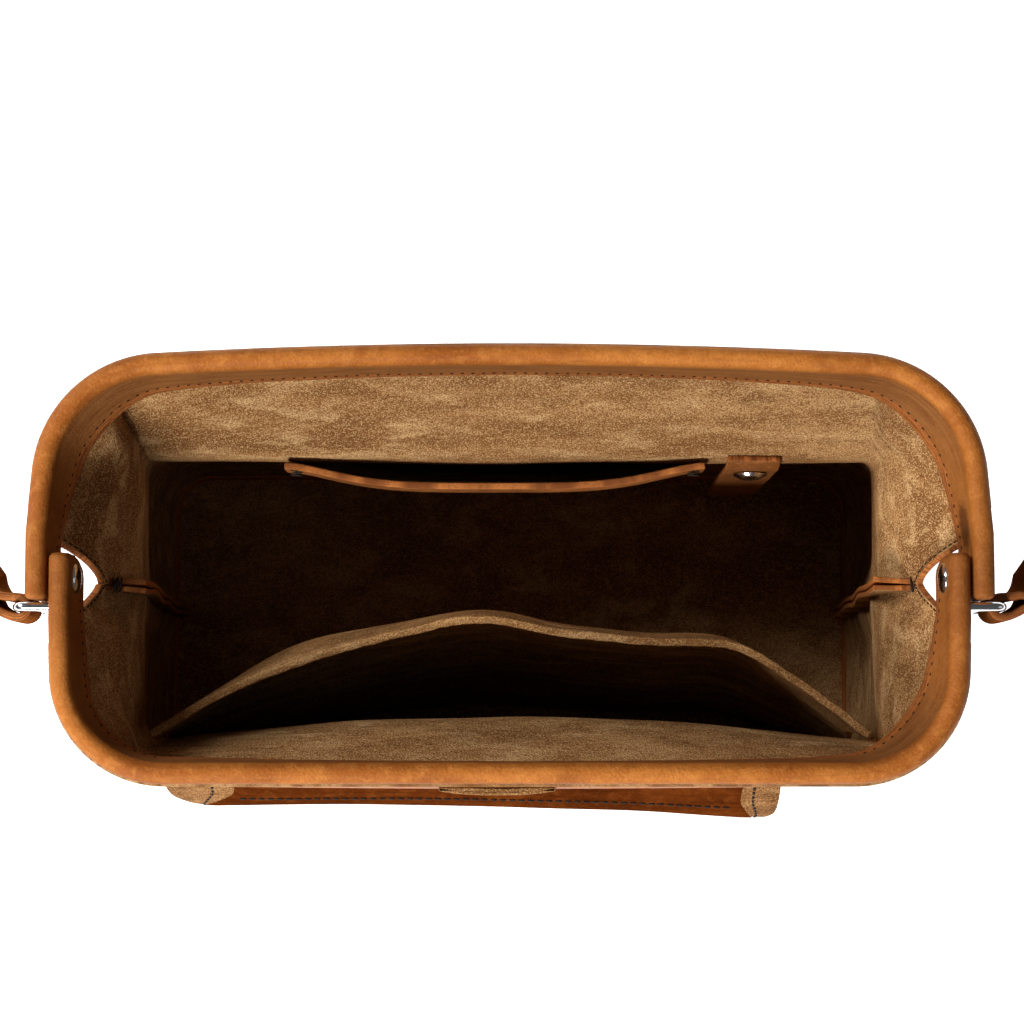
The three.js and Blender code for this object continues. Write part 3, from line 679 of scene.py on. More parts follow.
def edit_all(piece: Piece, move: Callable[[], None]) -> None:
    """Run operators on the whole of a piece in edit mode.

    Args:
        piece: Object to edit.
        move: Operators to run.
    """
    pick(piece)
    bpy.ops.object.mode_set(mode="EDIT")
    bpy.ops.mesh.select_all(action="SELECT")
    move()
    bpy.ops.object.mode_set(mode="OBJECT")


def tube(name: str, rings: np.ndarray, bands: Sequence[int] = (), marks: Marks | None = None) -> Piece:
    """Close a grid whose first and last rows meet into a tube with filled ends.

    Args:
        name: Name of the new object.
        rings: Places by row round the section and by column along the path.
        bands: Material slot of each row of faces.
        marks: Numbers from 0 to 1 for each place, by name.

    Returns:
        The new object.
    """
    piece = sheet(name, rings, bands, marks)

    def close() -> None:
        """Weld the meeting rows, fill the open ends and turn the faces out."""
        bpy.ops.mesh.remove_doubles(threshold=2e-6)
        bpy.ops.mesh.fill_holes(sides=0)
        bpy.ops.mesh.normals_make_consistent(inside=False)

    edit_all(piece, close)
    return piece


def modify(piece: Piece, kind: str, **settings: object) -> None:
    """Add a modifier and apply it.

    Args:
        piece: Object to change.
        kind: Type of the modifier.
        settings: Properties of the modifier.
    """
    pick(piece)
    modifier = piece.modifiers.new(kind.lower(), kind)
    for key, setting in settings.items():
        setattr(modifier, key, setting)
    bpy.ops.object.modifier_apply(modifier=modifier.name)


def thicken(piece: Piece, thickness: float, offset: float = -1.0, rounding: float = 0.35) -> None:
    """Give a sheet its thickness, with the inside and the cut edges in their own material slots.

    Args:
        piece: Sheet to thicken.
        thickness: Thickness in millimetres.
        offset: -1 to grow behind the sheet, 0 to grow on both sides.
        rounding: Width of the softened cut corners in millimetres.
    """
    modify(
        piece,
        "SOLIDIFY",
        thickness=thickness * MM,
        offset=offset,
        use_even_offset=False,
        material_offset=Layer.INSIDE.value,
        material_offset_rim=Layer.EDGE.value,
    )
    modify(
        piece,
        "BEVEL",
        width=rounding * MM,
        segments=2,
        limit_method="ANGLE",
        angle_limit=math.radians(60),
        use_clamp_overlap=True,
    )


def fray(piece: Piece, chosen: Callable[[Vector], bool]) -> None:
    """Move cut edges to the slot of the frayed ones.

    Args:
        piece: Thickened sheet.
        chosen: Test of the middle of a face, in metres.
    """
    for face in piece.data.polygons:
        if face.material_index == Layer.EDGE.value and chosen(face.center):
            face.material_index = Layer.FRAYED.value


def dress(piece: Piece, *finishes: Finish, angle: float = 50.0) -> None:
    """Fill the material slots of a piece and smooth its shading.

    Args:
        piece: Object to dress.
        finishes: Finish of each slot, in order.
        angle: Edges sharper than this many degrees stay sharp.
    """
    slots = np.empty(len(piece.data.polygons), np.int32)
    piece.data.polygons.foreach_get("material_index", slots)
    piece.data.materials.clear()
    for finish in finishes:
        material = bpy.data.materials.get(finish.name) or finish.material()
        piece.data.materials.append(material)
    piece.data.polygons.foreach_set("material_index", np.minimum(slots, len(finishes) - 1))
    pick(piece)
    bpy.ops.object.shade_smooth_by_angle(angle=math.radians(angle))


def join(pieces: Sequence[Piece], name: str) -> Piece:
    """Join meshes into the first one.

    Args:
        pieces: Dressed objects to join.
        name: Name of the joined object.

    Returns:
        The joined object.
    """
    pick(pieces[0])
    for piece in pieces:
        piece.select_set(True)
    bpy.ops.object.join()
    return rename(pieces[0], name)


def stand_for(piece: Piece, slot: str, *nodes: str) -> None:
    """Place a finished piece on the bag.

    Args:
        piece: Finished object.
        slot: Material slot of the record that it takes its finish from; not used.
        nodes: Solids that it stands for, if any.
    """
    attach(piece, BODY)
    if nodes:
        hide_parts(*nodes)
    triangles = sum(len(face.vertices) - 2 for face in piece.data.polygons)
    LOG.info("%s: %d triangles", piece.name, triangles)


def level_row(x: np.ndarray, y: np.ndarray, z: float) -> np.ndarray:
    """Row of places at one height."""
    return np.stack([x, y, np.full_like(x, z)], axis=1)


@dataclass(frozen=True)
class Fade:
    """A share that grows from 0 at a start to its full amount over a span, which may be negative."""

    start: float
    span: float
    share: float = 1.0

    def at(self, values: "np.ndarray | float") -> "np.ndarray | float":
        """Share at each value."""
        return np.clip((values - self.start) / self.span, 0, 1) * self.share


@dataclass(frozen=True)
class Rumple:
    """Soft unevenness of leather: its height, the length of a swell along each axis, and a seed."""

    height: float
    size: Point
    seed: float

    def at(self, points: np.ndarray, turn: int = 1) -> np.ndarray:
        """Distance from the plain surface.

        Args:
            points: Places by row and column, in millimetres.
            turn: Factor on the seed, so that two pieces of one kind differ.

        Returns:
            The distance for each place.
        """
        flat = points.reshape(-1, 3) / np.asarray(self.size) + self.seed * turn
        waves = np.array([noise.noise(Vector(place)) for place in flat])
        return self.height * waves.reshape(points.shape[:2])


# Sewing


@dataclass(frozen=True)
class Stitch:
    """Sizes of a row's stitches, in millimetres: spacing, length, width and lift off the leather."""

    pitch: float
    length: float
    width: float
    lift: float = 0.1


HEM_STITCH = Stitch(4.0, 2.9, 0.85)
NOTCH_STITCH = Stitch(2.1, 1.5, 0.6)
RIM_STITCH = Stitch(3.2, 1.0, 0.65, lift=0.05)
STRAP_STITCH = Stitch(3.4, 2.4, 0.8)
INNER_STITCH = Stitch(3.2, 2.3, 0.7)
FLAP_STITCH = Stitch(2.9, 2.2, 1.15)
FLAP_END_STITCH = Stitch(2.4, 1.7, 0.9)
POCKET_STITCH = Stitch(3.2, 2.3, 0.75)
TAB_STITCH = Stitch(3.0, 2.1, 0.7)

# Form of one stitch: how blunt its ends are, and its height as a share of its width
STITCH_BLUNT = 0.6
STITCH_FLAT = 0.8

# Bar tack: spacing, lean and width of its stitches
TACK_GAUGE = 0.75
TACK_LEAN = 0.25
TACK_WIDTH = 0.8


@dataclass(frozen=True)
class Seam:
    """A row of stitches along a line on a surface, in millimetres."""

    line: np.ndarray
    normals: np.ndarray
    stitch: Stitch

    def places(self) -> Iterable[tuple[np.ndarray, np.ndarray, np.ndarray]]:
        """Middle, direction and normal of each stitch."""
        steps = np.linalg.norm(np.diff(self.line, axis=0), axis=1)
        run = np.concatenate([[0.0], np.cumsum(steps)])
        count = max(1, int(run[-1] // self.stitch.pitch))
        reach = self.stitch.length / 2
        for number in range(count):
            middle = (number + 0.5) * run[-1] / count
            ends = (middle - reach, middle, middle + reach)
            tail, centre, head = (self._read(self.line, run, at) for at in ends)
            normal = self._read(self.normals, run, middle)
            along = (head - tail) / max(np.linalg.norm(head - tail), 1e-9)
            normal = normal - along * np.dot(normal, along)
            normal = normal / max(np.linalg.norm(normal), 1e-9)
            yield centre + normal * self.stitch.lift, along, normal

    @staticmethod
    def _read(values: np.ndarray, run: np.ndarray, at: float) -> np.ndarray:
        """Row of a table at a distance along the line."""
        return np.array([np.interp(at, run, values[:, axis]) for axis in range(3)])


def sew(name: str, seams: Sequence[Seam]) -> Piece:
    """Model one stitch and copy it along rows of stitches, as one mesh.

    Args:
        name: Name of the new object.
        seams: Rows of stitches.

    Returns:
        The joined stitches.
    """
    clear_selection()
    bpy.ops.mesh.primitive_uv_sphere_add(segments=6, ring_count=5, radius=0.5)
    pattern = bpy.context.object
    shape = np.array([vertex.co for vertex in pattern.data.vertices])
    faces = [tuple(face.vertices) for face in pattern.data.polygons]
    bpy.data.objects.remove(pattern)
    shape[:, 2] = np.sign(shape[:, 2]) * np.abs(shape[:, 2] * 2) ** STITCH_BLUNT / 2
    points = []
    for seam in seams:
        width, length = seam.stitch.width, seam.stitch.length
        for centre, along, normal in seam.places():
            across = np.cross(normal, along)
            axes = np.stack([across * width, normal * width * STITCH_FLAT, along * length])
            points.append(centre + shape @ axes)
    count = len(shape)
    copies = [
        tuple(corner + number * count for corner in face)
        for number in range(len(points))
        for face in faces
    ]
    mesh = bpy.data.meshes.new(name)
    mesh.from_pydata(np.concatenate(points) * MM, [], copies)
    mesh.update()
    piece = bpy.data.objects.new(name, mesh)
    bpy.context.scene.collection.objects.link(piece)
    dress(piece, DARK_THREAD, angle=80.0)
    return piece


def bar_tack(middle: Point, along: Point, normal: Point, count: int, length: float) -> list[Seam]:
    """Close group of stitches side by side that locks the end of a seam.

    Args:
        middle: Middle of the group in millimetres.
        along: Direction of its stitches.
        normal: Direction away from the leather.
        count: Number of stitches.
        length: Length of each stitch.

    Returns:
        One short seam for each stitch.
    """
    line = np.asarray(along, float) / np.linalg.norm(along)
    up = np.asarray(normal, float) / np.linalg.norm(normal)
    across = np.cross(up, line)
    stitch = Stitch(pitch=length, length=length, width=TACK_WIDTH)
    seams = []
    for number in range(count):
        slant = line + across * (number % 2 - 0.5) * TACK_LEAN
        start = np.asarray(middle) + across * (number - (count - 1) / 2) * TACK_GAUGE
        ends = np.stack([start - slant * length / 2, start + slant * length / 2])
        seams.append(Seam(ends, np.stack([up, up]), stitch))
    return seams


# Curves of the bag


def eased(
    t: "np.ndarray | float",
    start: np.ndarray,
    leave: np.ndarray,
    end: np.ndarray,
    reach: np.ndarray,
) -> np.ndarray:
    """Smooth way from one value to another.

    Args:
        t: Share of the way, from 0 to 1.
        start: Value at the start.
        leave: Slope at the start.
        end: Value at the end.
        reach: Slope at the end.

    Returns:
        The value at that share.
    """
    return (
        start * (2 * t**3 - 3 * t**2 + 1)
        + leave * (t**3 - 2 * t**2 + t)
        + end * (3 * t**2 - 2 * t**3)
        + reach * (t**3 - t**2)
    )


class LevelCurve:
    """Smooth reading of a table of heights and measures."""

    def __init__(self, heights: Sequence[float], rows: Sequence[Sequence[float]]) -> None:
        """Work out the slope of each measure at each height.

        Args:
            heights: Heights of the table, rising.
            rows: Measures at each height.
        """
        self.heights = np.asarray(heights, float)
        self.rows = np.asarray(rows, float)
        steps = np.diff(self.heights)[:, None]
        chords = np.diff(self.rows, axis=0) / steps
        slopes = np.empty_like(self.rows)
        slopes[1:-1] = (self.rows[2:] - self.rows[:-2]) / (self.heights[2:] - self.heights[:-2])[:, None]
        slopes[0] = 1.5 * chords[0] - 0.5 * slopes[1]
        slopes[-1] = 1.5 * chords[-1] - 0.5 * slopes[-2]
        self.slopes = slopes

    def at(self, z: float) -> np.ndarray:
        """Measures at a height.

        Args:
            z: Height, kept inside the table.

        Returns:
            One value for each measure.
        """
        z = min(max(z, self.heights[0]), self.heights[-1])
        index = int(np.clip(np.searchsorted(self.heights, z) - 1, 0, len(self.heights) - 2))
        span = self.heights[index + 1] - self.heights[index]
        t = (z - self.heights[index]) / span
        low, high = self.rows[index], self.rows[index + 1]
        return eased(t, low, self.slopes[index] * span, high, self.slopes[index + 1] * span)


def smooth_path(points: np.ndarray, steps: int) -> np.ndarray:
    """Rounded curve through points, with even care for long and short spans.

    Args:
        points: Points to pass through.
        steps: Steps in each span.

    Returns:
        Points along the curve.
    """
    padded = np.vstack([2 * points[0] - points[1], points, 2 * points[-1] - points[-2]])
    knots = np.sqrt(np.linalg.norm(np.diff(padded, axis=0), axis=1))
    shares = np.arange(steps)[:, None] / steps
    parts = []
    for index in range(1, len(padded) - 2):
        before, start, end, after = padded[index - 1 : index + 3]
        first, span, last = knots[index - 1 : index + 2]
        leave = (start - before) / first - (end - before) / (first + span) + (end - start) / span
        reach = (end - start) / span - (after - start) / (span + last) + (after - end) / last
        parts.append(eased(shares, start, leave * span, end, reach * span))
    return np.vstack([*parts, points[-1:]])


def rounded_corner(
    before: np.ndarray, vertex: np.ndarray, after: np.ndarray, radius: float, steps: int
) -> np.ndarray:
    """Arc that rounds the corner between two straight lines.

    Args:
        before: Point on the first line.
        vertex: Where the lines meet.
        after: Point on the second line.
        radius: Radius of the arc.
        steps: Steps along the arc.

    Returns:
        Points from the first line to the second.
    """
    back = (before - vertex) / np.linalg.norm(before - vertex)
    ahead = (after - vertex) / np.linalg.norm(after - vertex)
    half_angle = math.acos(max(-1.0, min(1.0, float(back @ ahead)))) / 2
    bisector = (back + ahead) / np.linalg.norm(back + ahead)
    centre = vertex + bisector * radius / math.sin(half_angle)
    start = vertex + back * radius / math.tan(half_angle) - centre
    turn = back[0] * ahead[1] - back[1] * ahead[0]
    sweep = (2 * half_angle - math.pi) * math.copysign(1.0, turn)
    angles = np.linspace(0, sweep, steps + 1)
    x = start[0] * np.cos(angles) - start[1] * np.sin(angles)
    y = start[0] * np.sin(angles) + start[1] * np.cos(angles)
    return np.stack([x, y], axis=1) + centre


# Steps along a plan line
KNEE_STEP = 2.0
GUSSET_STEPS = 10
ARM_STEPS = 12
CORNER_STEPS = 36
BAR_STEPS = 40


@dataclass(frozen=True)
class Plan:
    """Measures of a U-shaped plan line: x of its arm and corner, y of its corner and middle."""

    arm: float
    corner_x: float
    corner_y: float
    mid: float
    radius: float

    def row(self) -> list[float]:
        """The measures in order."""
        return [self.arm, self.corner_x, self.corner_y, self.mid, self.radius]

    def moved(self, offset: float, lean: float) -> "Plan":
        """The plan moved out of the bag and leaned in by a share of the rim's lean."""
        return Plan(*(value + offset - lean * tilt for value, tilt in zip(self.row(), RIM_LEAN.row())))

    def line(self) -> np.ndarray:
        """Half of the plan line, from the knee of the arm round the corner to the middle."""
        knee = np.array([self.arm, KNEE_Y])
        vertex = np.array([self.corner_x, self.corner_y])
        middle = np.array([0.0, self.mid])
        slope = (vertex - knee) / np.linalg.norm(vertex - knee)
        above = knee + slope * KNEE_STEP
        corner = rounded_corner(knee, vertex, middle, self.radius, CORNER_STEPS)
        arm = np.linspace(above, corner[0], ARM_STEPS)
        start = corner[-1]
        control = np.array([start[0] / 2, self.mid])
        t = np.linspace(0, 1, BAR_STEPS + 1)[1:, None]
        bar = start * (1 - t) ** 2 + 2 * control * t * (1 - t) + middle * t**2
        return np.vstack([knee, arm, corner[1:], bar])


BACK_RIM = Plan(arm=141.3, corner_x=136.8, corner_y=63, mid=66.7, radius=35)
FRONT_RIM = Plan(arm=134.1, corner_x=132.2, corner_y=58.4, mid=58.4, radius=31)
RIM_LEAN = Plan(arm=0.5, corner_x=3.5, corner_y=2, mid=0.3, radius=2.5)
RIM_PLANS = {Half.BACK: BACK_RIM, Half.FRONT: FRONT_RIM}

# Outer surface of the body at each height
LOW_LEVELS = {
    BODY_FOOT_Z: Plan(arm=129, corner_x=129, corner_y=54, mid=54, radius=16),
    30: Plan(arm=131, corner_x=131, corner_y=56, mid=56.5, radius=18),
    70: Plan(arm=130, corner_x=130, corner_y=56, mid=57, radius=18),
}
HIGH_LEVELS = {
    Half.BACK: {
        110: Plan(arm=125, corner_x=124.5, corner_y=51, mid=51.5, radius=11),
        WAIST_Z: Plan(arm=120.5, corner_x=120.5, corner_y=43.5, mid=43.3, radius=6),
        165: Plan(arm=128.5, corner_x=127, corner_y=52, mid=53, radius=13),
    },
    Half.FRONT: {
        110: Plan(arm=125, corner_x=124.5, corner_y=53, mid=51, radius=11),
        WAIST_Z: Plan(arm=120.5, corner_x=120.5, corner_y=51, mid=43.3, radius=7),
        165: Plan(arm=126, corner_x=124.5, corner_y=54, mid=49.5, radius=13),
    },
}
# Seam x, length of the allowance that points into the bag, and how far it opens in degrees
SEAM = LevelCurve(
    [BODY_FOOT_Z, 70, 120, WAIST_Z, SEAM_TOP_Z],
    [[128, 7, 3], [126.5, 7, 3], [122, 6, 3], [120.5, 6, 2.5], [127, 13, 2]],
)


class WallShape:
    """Outer surface of one half of the body."""

    def __init__(self, half: Half) -> None:
        """Read the levels of one half, with two more that follow its rim.

        Args:
            half: Half of the body.
        """
        rim = RIM_PLANS[half]
        levels = {**LOW_LEVELS, **HIGH_LEVELS[half]}
        levels[FACING_FOOT_Z] = rim.moved(BODY_OFFSET, 1.0)
        levels[BODY_TOP_Z] = rim.moved(BODY_OFFSET, 0.0)
        self.curve = LevelCurve(list(levels), [plan.row() for plan in levels.values()])
        self.lines: dict[float, np.ndarray] = {}

    def line(self, z: float) -> np.ndarray:
        """Half plan line, from the seam over the gusset to the middle.

        Args:
            z: Height of the line.

        Returns:
            Its points in x and y.
        """
        key = round(z, 3)
        if key not in self.lines:
            rest = Plan(*self.curve.at(z)).line()
            corner = np.array([SEAM.at(z)[0], SEAM_GAP / 2])
            gusset = np.linspace(corner, rest[0], GUSSET_STEPS + 1)[:-1]
            self.lines[key] = np.vstack([gusset, rest])
        return self.lines[key]

    def reach(self, x: float, z: float) -> float:
        """Distance from the hinge line to the outer surface, at a place along the width."""
        line = self.line(z)[GUSSET_STEPS + ARM_STEPS :][::-1]
        return float(np.interp(abs(x), line[:, 0], line[:, 1]))


WALLS = {half: WallShape(half) for half in Half}


@dataclass(frozen=True)
class CornerFold:
    """Crease between a side and a long wall, and how far the side is pushed in beside it."""

    top: Point
    low: Point
    depth: float


# From under the facing down to the narrowest level
CORNER_FOLDS = {
    Half.BACK: (
        CornerFold(top=(112.0, 62.0, 188.0), low=(120.0, 43.0, 143.0), depth=6.5),
        CornerFold(top=(-123.0, 57.0, 188.0), low=(-120.5, 43.0, 143.0), depth=8.0),
    ),
    Half.FRONT: (
        CornerFold(top=(119.0, -58.0, 188.0), low=(119.5, -49.5, 143.0), depth=4.0),
        CornerFold(top=(-119.0, -58.0, 188.0), low=(-119.5, -49.5, 143.0), depth=4.0),
    ),
}


# Body, base and rim


@dataclass
class BodyHalf:
    """One half of the body: wall, corners and gussets, with the seam allowances inside."""

    half: Half
    name: str
    node: str
    low_rows: int = 40
    high_rows: int = 36
    swell: Rumple = Rumple(height=0.8, size=(38.0, 38.0, 24.0), seed=3.1)
    crease: Rumple = Rumple(height=0.45, size=(55.0, 55.0, 8.0), seed=7.7)
    above_foot: Fade = Fade(start=BODY_FOOT_Z, span=20.0)
    below_facing: Fade = Fade(start=FACING_FOOT_Z - 2.0, span=-12.0)
    near_notch: Fade = Fade(start=WAIST_Z + 3.0, span=18.0)
    fold_width: float = 14.0
    fold_top: Fade = Fade(start=190.0, span=-8.0)
    fold_foot: Fade = Fade(start=144.0, span=26.0)
    # Painted shade along the waist crease, fading out 9 mm above and below it
    waist_shade: Fade = Fade(start=9.0, span=-9.0, share=0.2)
    # Darker towards the foot of the wall, over its lowest 20 mm
    foot_darkening: Fade = Fade(start=20.0, span=-12.0, share=0.35)
    frayed: tuple[float, float] = (SEAM_TOP_Z - 5.0, NOTCH_TOP_Z + 12.0)
    edge_rise: int = 5
    gusset_dip: float = 0.2
    gusset_out: float = 3.0
    allowance_columns: int = 8
    allowance_rows: int = 60
    allowance_rise: float = 3.0
    allowance_start: float = 0.2
    allowance_thinned: float = 0.3
    wave: float = 0.6
    wave_length: float = 9.0
    hem: float = 4.0
    notch_hem: float = 2.4
    notch_past: int = 3
    grid: np.ndarray = field(init=False)

    def heights(self) -> np.ndarray:
        """Height of each place by row and by column of the half line."""
        columns = len(WALLS[self.half].line(WAIST_Z))
        tops = np.full(columns, BODY_TOP_Z)
        tops[: GUSSET_STEPS + 1] = np.linspace(SEAM_TOP_Z, NOTCH_TOP_Z, GUSSET_STEPS + 1)
        rise = np.linspace(NOTCH_TOP_Z, BODY_TOP_Z, self.edge_rise + 1)
        tops[GUSSET_STEPS : GUSSET_STEPS + self.edge_rise + 1] = rise
        low = np.linspace(BODY_FOOT_Z, WAIST_Z, self.low_rows)[:, None] * np.ones(columns)
        share = np.linspace(0, 1, self.high_rows + 1)[1:, None]
        return np.vstack([low, WAIST_Z + share * (tops - WAIST_Z)])

    def surface(self) -> np.ndarray:
        """Grid of the outer surface before it is rumpled."""
        shape = WALLS[self.half]
        rows = []
        for row in self.heights():
            lines = {z: shape.line(z) for z in np.unique(row)}
            right = np.array([[*lines[z][column], z] for column, z in enumerate(row)])
            right[:, 0] += self.shift(right)
            rows.append(np.vstack([right, right[:-1][::-1] * (-1, 1, 1)]))
        return np.array(rows) * (1, self.half.value, 1)

    def shift(self, line: np.ndarray) -> np.ndarray:
        """How far the gusset stands out of the plain surface near the notch.

        Args:
            line: Places along a half line.

        Returns:
            The distance for each place.
        """
        share = np.clip(np.arange(len(line)) / GUSSET_STEPS, 0, 1)
        out = self.gusset_out * (1 - share) - self.gusset_dip * np.sin(math.pi * share)
        return out * self.near_notch.at(line[:, 2])

    def relief(self, points: np.ndarray) -> np.ndarray:
        """Folds and swells of the leather.

        Args:
            points: Places of the wall by row and column.

        Returns:
            The distance out of the bag for each place.
        """
        z = points[:, :, 2]
        out = self.swell.at(points, self.half.value) + self.crease.at(points, self.half.value)
        out *= self.below_facing.at(z)
        for crease in CORNER_FOLDS[self.half]:
            out -= self.fold(points, crease)
        return out * self.above_foot.at(z)

    def fold(self, points: np.ndarray, crease: CornerFold) -> np.ndarray:
        """Push into the bag beside one crease, with a sharp bend there that fades out over the gusset.

        Args:
            points: Places of the wall by row and column.
            crease: The crease and its depth.

        Returns:
            The distance into the bag for each place.
        """
        z = points[:, :, 2]
        top, low = np.array(crease.top), np.array(crease.low)
        share = np.clip((z - low[2]) / (top[2] - low[2]), 0, 1)[:, :, None]
        line = np.abs(low + (top - low) * share)
        past = np.abs(points[:, :, 0]) - line[:, :, 0] + line[:, :, 1] - np.abs(points[:, :, 1])
        past = np.maximum(past, 0) / self.fold_width
        height = self.fold_top.at(z) * self.fold_foot.at(z)
        beside = points[:, :, 0] * top[0] > 0
        return crease.depth * past * np.exp(1 - past) * height * beside

    def wall(self) -> Piece:
        """Leather wall with its thickness."""
        points = facing(self.surface(), (0, self.half.value, 0))
        points = points + grid_normals(points) * self.relief(points)[:, :, None]
        self.grid = points
        z = points[:, :, 2]
        # Painted shade along the waist crease, and darker towards the foot of the wall
        wear_and_shade = self.waist_shade.at(np.abs(z - WAIST_Z)) + self.foot_darkening.at(z)
        piece = sheet(self.name, points, marks={"wear_and_shade": wear_and_shade})
        thicken(piece, WALL)
        low, high = self.frayed
        fray(piece, lambda middle: low < middle.z / MM < high and abs(middle.y) < KNEE_Y * MM)
        return piece

    def allowance(self, hand: Hand) -> Piece:
        """Seam allowance that points into the bag.

        Args:
            hand: End of the bag that it is at.

        Returns:
            The thickened sheet.
        """
        rows = []
        for z in np.linspace(BODY_FOOT_Z, ALLOWANCE_TOP_Z + self.allowance_rise, self.allowance_rows):
            out = np.array([1, 1, 0]) * self.gusset_out * self.near_notch.at(z)
            x, length, flare = SEAM.at(z) + out
            angle = math.radians(flare)
            t = np.linspace(self.allowance_start, length, self.allowance_columns)
            wave = self.wave * math.sin(z / self.wave_length + hand.value) * (t / length) ** 2
            y = self.half.value * (SEAM_GAP / 2 + t * math.sin(angle)) + wave
            rows.append(level_row(hand.value * (x - t * math.cos(angle)), y, z))
        points = facing(np.array(rows), (0, -self.half.value, 0))
        piece = sheet(f"{self.name}_allowance_{hand.name.lower()}", points)
        thicken(piece, WALL - self.allowance_thinned)
        fray(piece, lambda middle: True)
        return piece

    def build(self) -> None:
        """Model the half and dress it."""
        parts = [self.wall(), *(self.allowance(hand) for hand in Hand)]
        for part in parts:
            dress(part, BODY_LEATHER, WALL_SUEDE, PALE_EDGE, ORANGE_EDGE)
        piece = join(parts, self.name)
        stand_for(piece, "body_leather", self.node)

    def seams(self) -> list[Seam]:
        """Stitch rows: round the bottom outside, and along the notch edges inside and out."""
        normals = grid_normals(self.grid)
        row = int(np.argmin(np.abs(self.grid[:, 0, 2] - BODY_FOOT_Z - self.hem)))
        rows = [Seam(self.grid[row], normals[row], HEM_STITCH)]
        columns = self.grid.shape[1]
        count = GUSSET_STEPS + self.notch_past
        up = run_lengths(self.grid[::-1], 0)
        hem = np.argmin(np.abs(up - self.notch_hem), axis=0)
        for first, last in ((0, count), (columns - count, columns)):
            places = [(-1 - hem[column], column) for column in range(first, last)]
            line = np.array([self.grid[place] for place in places])
            out = np.array([normals[place] for place in places])
            rows.append(Seam(line, out, NOTCH_STITCH))
            rows.append(Seam(line - out * WALL, -out, NOTCH_STITCH))
        return rows


